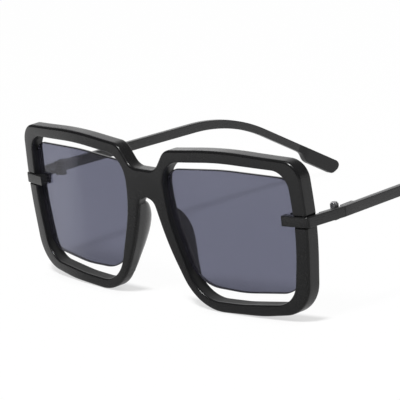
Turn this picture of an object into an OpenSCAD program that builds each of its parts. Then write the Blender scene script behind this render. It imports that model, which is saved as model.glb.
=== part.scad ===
// Oversized sunglasses, standing open on the rims' lower edges and the tips of the temples.
// +X is the wearer's left, the front faces -Y, the temples run back along +Y, +Z is up.
// The left and right pieces are mirror images in the plane X = 0.

/* [Front] */
// Width of the front across both rims
front_w = 147.4; // [142:0.2:153]
// Height of the rims
front_h = 57.5; // [55:0.5:61]
// Depth of the front from its face to its back
front_depth = 5.2; // [4.8:0.1:5.8]
// Radius that the front is bent to across the face
wrap_r = 434; // [380:2:600]
// Width of the rim along the top of a lens
rim_top_w = 4.4; // [3.8:0.1:5.2]
// Width of the rim along the bottom of a lens
rim_bottom_w = 3.9; // [3.4:0.1:4.8]
// Width of the rim on the temple side
rim_side_w = 5.1; // [4.6:0.1:5.8]
// Width of the rim beside the nose
rim_nasal_w = 6; // [5.4:0.1:6.8]
// Chamfer round the face edges of the front
face_chamfer = 0.4; // [0.2:0.05:0.6]
// Chamfer round the back edges of the front
back_chamfer = 0.3; // [0.15:0.05:0.4]
// Bevel along the front's back edge beside the nose
nose_bevel = 1.6; // [0.8:0.1:2]

/* [Lenses] */
// Thickness of a lens
lens_t = 1.2; // [1:0.1:1.6]
// Radius that a lens is bent to
lens_r = 300; // [260:5:420]
// Depth of the lens behind the rim's face, where the lens enters the rim
lens_depth = 2.4; // [1.9:0.05:2.5]
// How far a lens reaches into the rim beside the nose and at the temple
lens_seat = 0.8; // [0.5:0.05:1.2]
// See-through slot between the top of a lens and its rim
slot_top_h = 2.8; // [2:0.1:3.6]
// See-through slot between the bottom of a lens and its rim
slot_bottom_h = 3.5; // [2.6:0.1:3.9]
// How much taller that slot is at the end beside the nose
slot_nasal_rise = 1.2; // [0:0.1:1.6]

/* [Nose pads] */
// How far the top of a nose pad lies below the nose arch
pad_drop = 3.2; // [2.8:0.1:5]
// Height of a nose pad along the rim
pad_h = 27; // [22:0.5:28]
// How far a nose pad stands out behind the rim
pad_reach = 4.5; // [4:0.1:6.5]
// Thickness of the skin that a nose pad lays along the rim's side beside the nose
pad_skin = 0.35; // [0.25:0.05:0.6]
// How far the pad's ridge leans away from the nose
pad_flare = 4.2; // [3:0.1:5.5]
// Width of a pad where it is glued to the rim
pad_foot_w = 4.4; // [3.4:0.1:4.8]

/* [End pieces] */
// Height of the metal bar, on the end pieces and the temples alike
bar_h = 3.6; // [3.2:0.1:4.2]
// Thickness of the end piece where it crosses the rim's face
strap_t = 1.8; // [1.5:0.1:2.2]
// Thickness of the end piece beside the rim and back to the joint
leg_t = 1.9; // [1.6:0.1:2.2]
// How far the end piece stands proud of the rim's face
strap_proud = 0.25; // [0.1:0.05:0.5]
// Radius of the end piece's outer bend
strap_bend_r = 1.8; // [1:0.1:2.6]
// How far the end piece's outer corner stands beyond the rim's side
strap_side = 0.9; // [0.6:0.1:1.3]
// How far the end piece reaches in over the lens from the rim
strap_inreach = 4.9; // [4.6:0.1:6]
// Length of the block that meets the lens
block_len = 4.2; // [3.4:0.1:4.4]
// Height of the end pieces' middle above the lowest edge of the rims
hinge_h = 35.4; // [33:0.1:38]

/* [Clamps and screws] */
// Thickness of the clamp behind the lens
clamp_t = 0.9; // [0.7:0.1:1.3]
// How far the clamp's end towards the nose stays back from the block's end
clamp_setback = 1.1; // [0:0.1:1.2]
// Radius of the clamp's boss, which passes through the lens
boss_r = 1.2; // [1:0.05:1.4]
// Radius of the screws' shanks
screw_r = 0.6; // [0.5:0.05:0.7]
// Radius of the heads of the clamp screws and the rim screws
screw_head_r = 1.1; // [0.9:0.05:1.3]
// Height of the heads of the clamp screws and the rim screws
screw_head_h = 0.6; // [0.4:0.05:0.8]
// Thread engagement of the clamp screws and the rim screws
screw_bite = 1.2; // [0.8:0.05:1.3]

/* [Hinges] */
// Distance of the hinge axis behind the front's outer corner
hinge_back = 14.8; // [13.5:0.1:16.5]
// Distance of the joint behind the hinge axis
joint_back = 0.6; // [0.4:0.05:1]
// How far the temple's outer face stands beyond the rim's side, at the joint
joint_out = 2.6; // [2:0.1:3.2]
// Radius of the hinge's knuckles
knuckle_r = 1.45; // [1.3:0.05:1.6]
// Clearance between the knuckles and the bars
knuckle_gap = 0.25; // [0.2:0.05:0.4]
// Height of the whole stack of knuckles
stack_h = 5.2; // [4.8:0.1:6]
// Height of the middle knuckle
mid_knuckle_h = 2.1; // [1.6:0.1:2.4]
// Gap between two knuckles
stack_gap = 0.08; // [0.05:0.01:0.15]
// Thickness of a hinge leaf
leaf_t = 1; // [0.8:0.05:1.2]
// Length of a hinge leaf along the bar
leaf_len = 5.6; // [4.5:0.1:7]
// Radius of the hinge screw's shank
hinge_screw_r = 0.7; // [0.5:0.05:0.8]
// Radius of the hinge screw's head
hinge_head_r = 1.15; // [1:0.05:1.4]
// Height of the hinge screw's head
hinge_head_h = 0.5; // [0.3:0.05:0.7]
// Radial clearance of the shank in the knuckles
hinge_clearance = 0.05; // [0.02:0.01:0.08]

/* [Temples] */
// Thickness of a temple's bar
bar_t = 2.4; // [2.2:0.1:3]
// Height of a temple's bar where its tip begins
bar_end_h = 3; // [2.6:0.1:3.6]
// Length of a temple from its joint to the end of its tip, measured along the floor
temple_len = 133; // [125:1:145]
// Angle that each temple leans in towards the other
splay = 3; // [0:0.5:5]
// Angle that the straight part of a temple runs down
temple_slope = 0.9; // [0:0.1:2]
// Angle that the temple's end runs down behind the ear
drop_angle = 32; // [28:1:38]
// Radius of the bend over the ear
ear_bend_r = 76; // [60:1:90]
// Gap at the joint between an end piece and its temple
joint_gap = 0.15; // [0.1:0.05:0.3]

/* [Tips] */
// Length of a tip
tip_len = 24.5; // [21:0.5:28]
// Height of a tip
tip_h = 5.6; // [5:0.1:7]
// Thickness of a tip
tip_t = 3.4; // [3.2:0.1:4.2]
// Radius of the corners at the end of a tip
tip_end_r = 2.1; // [1.5:0.1:2.4]
// How far the end of a tip slants back from its top to its under side
tip_slant = 3.9; // [0:0.1:4.2]
// Length of a tip's collar, which is as tall as the bar
tip_collar_len = 2.2; // [1.5:0.1:3.5]
// Length of the sloped step where a tip grows taller than its collar
tip_step_len = 3.4; // [2.5:0.1:6]
// Radius that rounds the step at both ends
tip_step_r = 5; // [2:0.1:5.5]
// Chamfer round a tip's edges
tip_chamfer = 0.45; // [0.2:0.05:0.6]
// Length of the bar's core inside a tip
core_len = 15; // [10:0.5:16.5]
// Height of the bar's core
core_h = 1.8; // [1.4:0.1:2]
// Thickness of the bar's core
core_t = 1.4; // [1:0.1:1.8]

/* [Hidden] */
// Clearance of each piece in its seat
fit = 0.05;
// How far cuts run past the faces that they open
overrun = 2;

// Corners of a rim's outline: shares of half the front's width, of its height, and the corner radius
// as a share of the height. They run from the bridge over the top, down the temple side and up the nose.
rim_corner_shares = [
    [0.085, 0.826, 0.12],
    [0.166, 0.965, 0.106],
    [0.516, 1.002, 3],
    [0.988, 0.969, 0.123],
    [1.006, 0.568, 2.64],
    [0.959, 0.06, 0.278],
    [0.682, 0.011, 1.18],
    [0.277, -0.007, 0.383],
    [0.117, 0.378, 1.48],
    [0.053, 0.633, 0.122],
];
// Heights of the bridge's top and of the nose arch, on the plane X = 0, as shares of the front's height
bridge_top_share = 0.826;
arch_top_share = 0.652;

// Corners of a lens opening: how far each lies in from its corner of the outline, as shares of the
// widths of the rim across and along, and the corner radius as a share of the front's height
opening_inset_shares = [
    [-0.4, -0.99, 0.178],
    [0, -0.99, 2.3],
    [-1.03, -0.81, 0.12],
    [-1, -0.6, 2.6],
    [-1.12, 0.7, 0.17],
    [-1.65, 0.86, 1.2],
    [0.1, 1, 0.31],
    [1, -0.74, 0.84],
];
opening_inset_w = [
    [rim_nasal_w, rim_top_w],
    [rim_nasal_w, rim_top_w],
    [rim_side_w, rim_top_w],
    [rim_side_w, rim_top_w],
    [rim_side_w, rim_bottom_w],
    [rim_side_w, rim_bottom_w],
    [rim_nasal_w, rim_bottom_w],
    [rim_nasal_w, rim_top_w],
];
// Which corner of the outline each corner of the opening follows
opening_follows = [1, 2, 3, 4, 5, 6, 7, 9];

// Points on each rounded corner, and stations across the bridge on the plane X = 0
arc_points = 7;
bridge_stations = 3;
// Most of a side that one rounded corner may take
corner_reach_share = 0.49;
tip_reach_share = 0.6;

function unit(v) = v / norm(v);
function turned(p, angle) = [p.x * cos(angle) - p.y * sin(angle), p.x * sin(angle) + p.y * cos(angle)];
function cross_of(a, b) = a.x * b.y - a.y * b.x;
// Where the line through a and b meets the line through c and d
function meet(a, b, c, d) = a + (b - a) * cross_of(c - a, d - c) / cross_of(b - a, d - c);
// The points strictly between a and b that part the line evenly
function between(a, b, count) = [for (i = [1:count]) a + (b - a) * i / (count + 1)];
function joined(lists) = [for (list = lists) each list];

// The arc that rounds the corner p between its neighbours a and b
function corner_arc(a, p, b, r, count, most = corner_reach_share) =
    let (
        u = unit(a - p),
        v = unit(b - p),
        half = acos(u * v) / 2,
        reach = min(r / tan(half), most * min(norm(a - p), norm(b - p))),
        radius = reach * tan(half),
        centre = p + unit(u + v) * radius / sin(half),
        from = p + u * reach - centre,
        to = p + v * reach - centre,
        start = atan2(from.y, from.x),
        turn = (atan2(to.y, to.x) - start + 540) % 360 - 180
    )
    [for (i = [0:count - 1])
        centre + radius * [cos(start + turn * i / (count - 1)), sin(start + turn * i / (count - 1))]];

// The arcs of a closed outline's corners, each corner given as [x, z, radius]
function rounded(corners, count = arc_points) =
    let (last = len(corners) - 1)
    [for (i = [0:last])
        let (
            p = corners[i],
            a = corners[i == 0 ? last : i - 1],
            b = corners[i == last ? 0 : i + 1]
        )
        corner_arc([a.x, a.y], [p.x, p.y], [b.x, b.y], p.z, count)];

// Setback of the bent front at a distance x from the middle
function wrap(x) = wrap_r - sqrt(wrap_r * wrap_r - x * x);

half_w = front_w / 2;
rim_corners = [for (s = rim_corner_shares) [s.x * half_w, s.y * front_h, s.z * front_h]];
bridge_top = [0, bridge_top_share * front_h];
arch_top = [0, arch_top_share * front_h];

// The outline's corners are rounded between their neighbours, and its two ends lie on the plane X = 0
outline_ends = concat([[bridge_top.x, bridge_top.y, 0]], rim_corners, [[arch_top.x, arch_top.y, 0]]);
outline_arcs = [for (i = [1:len(rim_corners)])
    let (a = outline_ends[i - 1], p = outline_ends[i], b = outline_ends[i + 1])
    corner_arc([a.x, a.y], [p.x, p.y], [b.x, b.y], p.z, arc_points)];

// The lowest point of the outline stands on Z = 0
foot_z = min([for (arc = outline_arcs) for (p = arc) p.y]);
function stood(points) = [for (p = points) [p.x, p.y - foot_z]];

opening_corners = [for (i = [0:len(opening_follows) - 1])
    let (p = rim_corners[opening_follows[i]], s = opening_inset_shares[i], w = opening_inset_w[i])
    [p.x + s.x * w.x, p.y + s.y * w.y - foot_z, s.z * front_h]];
opening_arcs = rounded(opening_corners);

// Stations round one rim: each pairs a point of the outline with a point of the opening
nose_gap_count = bridge_stations + arc_points + 2;
outline_points = stood(joined([
    joined([for (i = [1:len(outline_arcs) - 1]) outline_arcs[i]]),
    [arch_top],
    between(arch_top, bridge_top, bridge_stations),
    [bridge_top],
    outline_arcs[0],
]));
opening_points = joined([
    joined([for (i = [0:6]) opening_arcs[i]]),
    between(opening_arcs[6][arc_points - 1], opening_arcs[7][0], arc_points),
    opening_arcs[7],
    between(opening_arcs[7][arc_points - 1], opening_arcs[0][0], nose_gap_count),
]);
station_count = len(outline_points);
first_centre = arc_points * (len(outline_arcs) - 1);
last_centre = first_centre + bridge_stations + 1;
function is_centre(i) = i >= first_centre && i <= last_centre;

// Direction into the rim at a point of a closed outline that runs clockwise: side is 1 on the outline
// and -1 on the opening
function into_rim(points, i, side) =
    let (
        count = len(points),
        along = unit(points[(i + 1) % count] - points[(i + count - 1) % count])
    )
    side * [along.y, -along.x];
function outline_inward(i) =
    i == first_centre ? [0, 1] :
    i == last_centre ? [0, -1] :
    is_centre(i) ? [0, 0] :
    into_rim(outline_points, i, 1);

// The back edge of the outline is bevelled beside the nose, from the arc of its lower corner onwards
nose_first = arc_points * 6;
function back_edge(i) =
    let (share = min(max((i - nose_first) / (arc_points - 1), 0), 1))
    i > first_centre ? back_chamfer : back_chamfer + (nose_bevel - back_chamfer) * share;

function on_front(p, depth) = [p.x, wrap(p.x) + depth, p.y];
// The rim's section at a station: eight points from the opening's back edge round by the face
function rim_section(i) =
    let (
        inner = opening_points[i],
        outer = outline_points[i],
        inner_in = into_rim(opening_points, i, -1),
        outer_in = outline_inward(i)
    )
    [
        on_front(inner, front_depth - back_chamfer),
        on_front(inner, face_chamfer),
        on_front(inner + inner_in * face_chamfer, 0),
        on_front(outer + outer_in * face_chamfer, 0),
        on_front(outer, face_chamfer),
        on_front(outer, front_depth - back_edge(i)),
        on_front(outer + outer_in * back_edge(i), front_depth),
        on_front(inner + inner_in * back_chamfer, front_depth),
    ];
section_count = 8;
half_front_points = [for (i = [0:station_count - 1]) each rim_section(i)];
// Between two stations on the plane X = 0 the section stays open to the other half
function is_wall(i, k) = !(is_centre(i) && is_centre((i + 1) % station_count) && k >= 3 && k <= 5);
half_front_faces = [for (i = [0:station_count - 1]) for (k = [0:section_count - 1]) if (is_wall(i, k))
    let (
        next = (i + 1) % station_count,
        after = (k + 1) % section_count,
        a = i * section_count + k,
        b = i * section_count + after,
        c = next * section_count + after,
        d = next * section_count + k
    )
    each [[a, b, c], [a, c, d]]];

// Lens outline: the opening, lowered at the top, raised at the bottom and grown into the rim's sides
function side_x(low, high, z) = low.x + (high.x - low.x) * (z - low.y) / (high.y - low.y);
lens_foot_side_z = opening_corners[4].y + slot_bottom_h;
lens_foot_nasal_z = opening_corners[6].y + slot_bottom_h + slot_nasal_rise;
lens_corners = [
    [opening_corners[0].x - lens_seat, opening_corners[0].y - slot_top_h, opening_corners[0].z],
    [opening_corners[1].x, opening_corners[1].y - slot_top_h, opening_corners[1].z],
    [opening_corners[2].x + lens_seat, opening_corners[2].y - slot_top_h, opening_corners[2].z],
    [opening_corners[3].x + lens_seat, opening_corners[3].y, opening_corners[3].z],
    [side_x(opening_corners[4], opening_corners[3], lens_foot_side_z) + lens_seat, lens_foot_side_z,
        opening_corners[4].z],
    [opening_corners[5].x, opening_corners[5].y + slot_bottom_h, opening_corners[5].z],
    [side_x(opening_corners[6], opening_corners[7], lens_foot_nasal_z) - lens_seat, lens_foot_nasal_z,
        opening_corners[6].z],
    [opening_corners[7].x - lens_seat, opening_corners[7].y, opening_corners[7].z],
];
lens_outline = joined(rounded(lens_corners));

// The lens is bent about an upright axis behind its middle, and is set so that its two sides enter the
// rim at lens_depth
lens_mid_x = (opening_corners[7].x + opening_corners[3].x) / 2;
lens_half_w = (opening_corners[3].x - opening_corners[7].x) / 2;
lens_turn = asin(lens_mid_x / wrap_r);
function sagitta(r) = r - sqrt(r * r - lens_half_w * lens_half_w);
lens_mid_depth = lens_depth - sagitta(lens_r) + sagitta(wrap_r);
lens_axis = [lens_mid_x, wrap(lens_mid_x)] + turned([0, lens_mid_depth + lens_r], lens_turn);
// Plan of the seats that the lens enters: the same band in short flats, a clearance thicker
seat_steps = 20;
seat_span = asin((lens_half_w + lens_seat + overrun) / lens_r);
function seat_arc(r) = [for (i = [0:seat_steps])
    let (angle = lens_turn + seat_span * (2 * i / seat_steps - 1))
    lens_axis + r * [sin(angle), -cos(angle)]];
seat_back = seat_arc(lens_r - lens_t - fit);
seat_plan = concat(seat_arc(lens_r + fit), [for (i = [seat_steps:-1:0]) seat_back[i]]);

// The end piece's strap lies on the plane that touches the front's face at the middle of the rim's side
strap_x = half_w - rim_side_w / 2;
strap_turn = asin(strap_x / wrap_r);
function strap_at(x, depth) = [strap_x, wrap(strap_x)] + turned([x, depth], strap_turn);
strap_end = -rim_side_w / 2 - strap_inreach;
block_end = strap_end + block_len;
clamp_end = strap_end + clamp_setback;
clamp_mid = (clamp_end + block_end) / 2;
// Depth behind the strap's plane of a surface of radius r about the lens's axis
lens_axis_on_strap = turned(lens_axis - [strap_x, wrap(strap_x)], -strap_turn);
function lens_depth_at(x, r) = lens_axis_on_strap.y - sqrt(r * r - pow(x - lens_axis_on_strap.x, 2));
function lens_at(x, r) = strap_at(x, lens_depth_at(x, r));
clamp_front_r = lens_r - lens_t - fit;
clamp_back_r = clamp_front_r - clamp_t;
clamp_screw_tip = lens_depth_at(clamp_mid, lens_r) - screw_bite;
clamp_screw_seat = lens_depth_at(clamp_mid, clamp_back_r) + fit;
rim_screw_tip = strap_t - strap_proud - screw_bite;

// Hinge: distances across are measured from the axis outwards, and distances back along the temple
bar_in = knuckle_r + knuckle_gap;
bar_out = bar_in + bar_t;
arm_start = joint_back + joint_gap;
plate_start = knuckle_r + 2 * knuckle_gap;
hinge_x = half_w + joint_out - bar_out * cos(splay) + joint_back * sin(splay);
hinge_y = wrap(half_w) + hinge_back;
function hinge_at(x, back) = [hinge_x, hinge_y] + turned([x, back], splay);
// A place on the plan, measured from the hinge axis in the same way
function from_hinge(p) = turned(p - [hinge_x, hinge_y], -splay);

// Plan of an end piece: a strap over the rim's face, and a leg from its outer corner to the joint
strap_corner_out = strap_at(rim_side_w / 2 + strap_side, -strap_proud);
leg_end_out = hinge_at(bar_out, joint_back);
leg_dir = unit(leg_end_out - strap_corner_out);
leg_inward = [-leg_dir.y, leg_dir.x] * leg_t;
leg_end_in = meet(strap_corner_out + leg_inward, leg_end_out + leg_inward,
    leg_end_out, hinge_at(0, joint_back));
strap_corner_in = meet(strap_at(0, strap_t - strap_proud), strap_at(half_w, strap_t - strap_proud),
    leg_end_in - leg_dir, leg_end_in);
strap_inner_bend_r = max(strap_bend_r - strap_t, strap_proud);
end_piece_plan = joined([
    [strap_at(strap_end, -strap_proud)],
    corner_arc(strap_at(strap_end, -strap_proud), strap_corner_out, leg_end_out, strap_bend_r, arc_points),
    [leg_end_out, leg_end_in],
    corner_arc(leg_end_in, strap_corner_in, strap_at(block_end, strap_t - strap_proud),
        strap_inner_bend_r, arc_points),
    [
        strap_at(block_end, strap_t - strap_proud),
        lens_at(block_end, lens_r + fit),
        lens_at(strap_end, lens_r + fit),
    ],
]);

// Plan of the front leaf, about the hinge axis: its plate lies on the leg's inner face, and its tab
// reaches back to the knuckles
leg_in_a = from_hinge(leg_end_in - leg_dir * (leaf_len + plate_start));
leg_in_b = from_hinge(leg_end_in);
leg_slope = (leg_in_b.x - leg_in_a.x) / (leg_in_b.y - leg_in_a.y);
function leg_in(back) = leg_in_b.x + (back - leg_in_b.y) * leg_slope;
front_plate_plan = [
    [leg_in(-plate_start), -plate_start],
    [leg_in(-plate_start - leaf_len), -plate_start - leaf_len],
    [leg_in(-plate_start - leaf_len) - leaf_t, -plate_start - leaf_len],
    [leg_in(-plate_start) - leaf_t, -plate_start],
];
front_tab_plan = [
    [bar_in, 0],
    [leg_in(-plate_start), -plate_start],
    [leg_in(-plate_start) - leaf_t, -plate_start],
    [bar_in - leaf_t, 0],
];

// Side view of a tip, turned down by the drop angle: its start is upright to its slope, and the end
// slants back below its top
drop_dir = [cos(drop_angle), -sin(drop_angle)];
drop_up = [sin(drop_angle), cos(drop_angle)];
tip_corners = [
    [0, 0, 0],
    [tip_len, 0, tip_end_r],
    [tip_len - tip_slant, -tip_h, tip_end_r],
    [tip_collar_len + tip_step_len, -tip_h, tip_step_r],
    [tip_collar_len, -bar_end_h, tip_step_r],
    [0, -bar_end_h, 0],
];
tip_last = len(tip_corners) - 1;
tip_flat = [for (i = [0:tip_last])
    let (
        p = tip_corners[i],
        a = tip_corners[i == 0 ? tip_last : i - 1],
        b = tip_corners[i == tip_last ? 0 : i + 1]
    )
    each p.z > 0 ? corner_arc([a.x, a.y], [p.x, p.y], [b.x, b.y], p.z, arc_points, tip_reach_share) :
        [[p.x, p.y]]];
tip_turned = [for (p = tip_flat) turned(p, -drop_angle)];
// The tip's lowest point stands on Z = 0, and its end lies a temple's length behind the joint
tip_move = [
    joint_back + temple_len - max([for (p = tip_turned) p.x]),
    -min([for (p = tip_turned) p.y]),
];
tip_outline = [for (p = tip_turned) p + tip_move];

// Side view of a temple's bar, in distances back from the hinge axis and heights: its straight part
// and the line of its tip meet at a corner, which the bend over the ear rounds
run_dir = [cos(temple_slope), -sin(temple_slope)];
run_up = [sin(temple_slope), cos(temple_slope)];
arm_from = [arm_start, hinge_h];
arm_to = tip_move - drop_up * bar_end_h / 2;
ear_points = 17;
// The upper edge has side 1 and the lower one -1. The bar grows slimmer along the bend
function arm_edge(side) =
    let (
        from = arm_from + run_up * side * bar_h / 2,
        to = arm_to + drop_up * side * bar_end_h / 2,
        bend_r = ear_bend_r + side * (bar_h + bar_end_h) / 4
    )
    concat([from], corner_arc(from, meet(from, from + run_dir, to, to + drop_dir), to, bend_r, ear_points), [to]);
arm_bottom = arm_edge(-1);
arm_outline = concat(arm_edge(1), [for (i = [len(arm_bottom) - 1:-1:0]) arm_bottom[i]]);
function core_outline(grow) =
    let (
        from = arm_to - drop_dir * (grow > 0 ? overrun : 0),
        to = arm_to + drop_dir * (core_len + grow),
        half = drop_up * (core_h / 2 + grow)
    )
    [from + half, to + half, to - half, from - half];

// The part stands with its origin below the middle of its length
tip_out = bar_in + (bar_t + tip_t) / 2 - tip_chamfer;
tip_reach = max([for (p = tip_outline) p.x]);
mid_y = hinge_at(tip_out, tip_reach).y / 2;

// Nose pad: its foot lies on the rim's back, its ridge rises and leans out between two ends, and its skin
// runs forward over the bevel and the rim's side beside the nose
pad_stations = 20;
pad_section = 12;
pad_top_z = arch_top.y - foot_z - pad_drop;
pad_skew_share = 1.8;
pad_round_share = 0.7;
pad_slim_share = 0.45;
pad_end_share = 0.05;
nose_side = [for (i = [nose_first:first_centre - 1]) [outline_points[i].y, outline_points[i].x]];
nose_edge = [for (i = [nose_first:first_centre - 1]) [outline_points[i].y, back_edge(i)]];
function pad_rise(t) = max(pow(sin(180 * pow(t, pad_skew_share)), pad_round_share), pad_end_share);
// The stations lie closer together towards the pad's two ends
function pad_share(i) = (1 - cos(180 * (i + 1) / (pad_stations + 1))) / 2;
// A ring of the pad, in distances across and behind the rim's face: over the ridge from the foot's far side
// to the rim's side, forward along it, and back along the rim
function pad_ring_at(t) =
    let (
        z = pad_top_z - pad_h * (1 - t),
        side = lookup(z, nose_side),
        bevel = lookup(z, nose_edge),
        rise = pad_rise(t),
        slim = pow(rise, pad_slim_share),
        mid = side + back_chamfer + pad_foot_w / 2,
        ridge = [mid + rise * (pad_flare - back_chamfer - pad_foot_w / 2), front_depth + fit + rise * pad_reach],
        foot = [mid + slim * pad_foot_w / 2, front_depth + fit],
        flank = [side - fit - slim * pad_skin, front_depth - bevel]
    )
    concat(
        [for (k = [0:pad_section])
            let (angle = 180 * k / pad_section, end = angle < 90 ? foot : flank)
            [
                end.x + (ridge.x - end.x) * (1 - abs(cos(angle))),
                end.y + (ridge.y - end.y) * sin(angle),
                z,
            ]],
        [
            [flank.x, face_chamfer + 2 * pad_skin, z],
            [side - fit, face_chamfer, z],
            [side - fit, front_depth - bevel, z],
            [side + bevel, front_depth + fit, z],
        ]
    );
pad_points = [for (i = [0:pad_stations - 1]) for (p = pad_ring_at(pad_share(i))) [p.x, wrap(p.x) + p.y, p.z]];
pad_ring = pad_section + 5;
pad_last = (pad_stations - 1) * pad_ring;
pad_faces = concat(
    [for (i = [0:pad_stations - 2]) for (k = [0:pad_ring - 1])
        let (
            after = (k + 1) % pad_ring,
            a = i * pad_ring + k,
            b = i * pad_ring + after,
            c = (i + 1) * pad_ring + after,
            d = (i + 1) * pad_ring + k
        )
        each [[a, c, b], [a, d, c]]],
    [[for (k = [0:pad_ring - 1]) k], [for (k = [pad_ring - 1:-1:0]) pad_last + k]]
);

$fn = 64;

// Puts a piece made for the wearer's left on its side, with the part's origin below its middle
module on_side(side) {
    translate([0, -mid_y, 0])
        mirror([side < 0 ? 1 : 0, 0, 0])
            children();
}

// Stands a plan up about the height of the bars
module bar_slab(height) {
    translate([0, 0, hinge_h - height / 2])
        linear_extrude(height)
            children();
}

// Extrudes a side view of the temple across it, from a distance outside the hinge axis
module side_slab(from, thickness) {
    translate([from, 0, 0])
        rotate([90, 0, 90])
            linear_extrude(thickness)
                children();
}

module in_hinge() {
    translate([hinge_x, hinge_y, 0])
        rotate(splay)
            children();
}

// Origin on the face at a place along the strap, with +Y going straight into the rim
module in_strap(x) {
    at = strap_at(x, 0);
    translate([at.x, at.y, hinge_h])
        rotate(strap_turn)
            children();
}

// A bar along +Y from depth a to depth b
module pin(r, a, b) {
    translate([0, b, 0])
        rotate([90, 0, 0])
            cylinder(r = r, h = b - a);
}

// The outline of a lens, grown by a clearance, standing through the front
module lens_prism(grow) {
    translate([0, wrap(half_w) + front_depth + overrun, 0])
        rotate([90, 0, 0])
            linear_extrude(wrap(half_w) + front_depth + 2 * overrun)
                offset(delta = grow)
                    polygon(lens_outline);
}

module lens_seats() {
    intersection() {
        lens_prism(fit);
        linear_extrude(front_h + overrun)
            polygon(seat_plan);
    }
}

module front_blank() {
    count = len(half_front_points);
    polyhedron(
        points = concat(half_front_points, [for (p = half_front_points) [-p.x, p.y, p.z]]),
        faces = concat(half_front_faces, [for (f = half_front_faces) [f[0] + count, f[2] + count, f[1] + count]])
    );
}

// One moulding: both rims, the bridge, the lens seats, the end pieces' notches and the screw holes
module front_frame() {
    color([0.13, 0.13, 0.14])
        translate([0, -mid_y, 0])
            difference() {
                front_blank();
                for (side = [0, 1])
                    mirror([side, 0, 0]) {
                        lens_seats();
                        bar_slab(bar_h + 2 * fit)
                            offset(delta = fit)
                                polygon(end_piece_plan);
                        in_strap(0) {
                            pin(screw_r + fit, 0, front_depth + overrun);
                            pin(screw_head_r + fit, front_depth - screw_head_h, front_depth + overrun);
                        }
                    }
            }
}

module lens(side) {
    bend_h = front_h + 2 * overrun;
    color([0.42, 0.41, 0.47, 0.6])
        on_side(side)
            difference() {
                intersection() {
                    lens_prism(0);
                    translate([lens_axis.x, lens_axis.y, -overrun])
                        difference() {
                            cylinder(r = lens_r, h = bend_h, $fn = 480);
                            translate([0, 0, -overrun])
                                cylinder(r = lens_r - lens_t, h = bend_h + 2 * overrun, $fn = 480);
                        }
                }
                in_strap(clamp_mid)
                    pin(boss_r + fit, 0, front_depth + overrun);
            }
}

module nose_pad(side) {
    color([0.1, 0.1, 0.11])
        on_side(side)
            polyhedron(points = pad_points, faces = pad_faces);
}

// The strap over the rim's face, the block on the lens and the leg back to the hinge
module end_piece(side) {
    color([0.2, 0.2, 0.21])
        on_side(side)
            difference() {
                bar_slab(bar_h)
                    polygon(end_piece_plan);
                in_strap(clamp_mid)
                    pin(screw_r + fit, clamp_screw_tip - fit, front_depth);
                in_strap(0)
                    pin(screw_r + fit, rim_screw_tip - fit, front_depth);
            }
}

// The plate behind the lens that the clamp screw draws against the block, with its boss through the lens
module lens_clamp(side) {
    color([0.2, 0.2, 0.21])
        on_side(side)
            difference() {
                union() {
                    bar_slab(bar_h)
                        polygon([
                            lens_at(clamp_end, clamp_front_r),
                            lens_at(block_end, clamp_front_r),
                            lens_at(block_end, clamp_back_r),
                            lens_at(clamp_end, clamp_back_r),
                        ]);
                    in_strap(clamp_mid)
                        pin(boss_r, lens_depth_at(clamp_mid, lens_r), clamp_screw_seat - clamp_t / 2);
                }
                in_strap(clamp_mid)
                    pin(screw_r + fit, 0, clamp_screw_seat + overrun);
            }
}

// A slotted screw that points to the face: its head's seat lies at a depth, and its tip at another
module slotted_screw(tip, seat) {
    slot_w = screw_head_r / 3;
    difference() {
        union() {
            pin(screw_r, tip, seat + screw_head_h / 2);
            pin(screw_head_r, seat, seat + screw_head_h);
        }
        translate([-screw_head_r - overrun, seat + screw_head_h / 2, -slot_w / 2])
            cube([2 * screw_head_r + 2 * overrun, screw_head_h, slot_w]);
    }
}

module clamp_screw(side) {
    color([0.72, 0.72, 0.72])
        on_side(side)
            in_strap(clamp_mid)
                slotted_screw(clamp_screw_tip, clamp_screw_seat);
}

module rim_screw(side) {
    color([0.72, 0.72, 0.72])
        on_side(side)
            in_strap(0)
                slotted_screw(rim_screw_tip, front_depth - screw_head_h);
}

// Heights of the knuckles' ends above the bottom of the stack
outer_knuckle_h = (stack_h - mid_knuckle_h) / 2 - stack_gap;
stack_z = hinge_h - stack_h / 2;
leaf_h = bar_h - 2 * joint_gap;

module knuckle(z, h) {
    translate([0, 0, z])
        difference() {
            children();
            translate([0, 0, -overrun])
                cylinder(r = hinge_screw_r + hinge_clearance, h = h + 2 * overrun);
        }
}

// The leaf on the end piece, with the knuckles at the top and the bottom of the stack
module front_leaf(side) {
    color([0.16, 0.16, 0.17])
        on_side(side)
            in_hinge() {
                translate([0, 0, hinge_h - leaf_h / 2])
                    linear_extrude(leaf_h)
                        polygon(front_plate_plan);
                for (z = [stack_z, stack_z + stack_h - outer_knuckle_h])
                    knuckle(z, outer_knuckle_h)
                        union() {
                            cylinder(r = knuckle_r, h = outer_knuckle_h);
                            linear_extrude(outer_knuckle_h)
                                polygon(front_tab_plan);
                        }
            }
}

// The leaf on the temple, with the middle knuckle
module temple_leaf(side) {
    color([0.16, 0.16, 0.17])
        on_side(side)
            in_hinge() {
                translate([bar_in - leaf_t, plate_start, hinge_h - leaf_h / 2])
                    cube([leaf_t, leaf_len, leaf_h]);
                knuckle(hinge_h - mid_knuckle_h / 2, mid_knuckle_h)
                    union() {
                        cylinder(r = knuckle_r, h = mid_knuckle_h);
                        translate([bar_in - leaf_t, 0, 0])
                            cube([leaf_t - knuckle_gap, plate_start, mid_knuckle_h]);
                    }
            }
}

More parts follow.
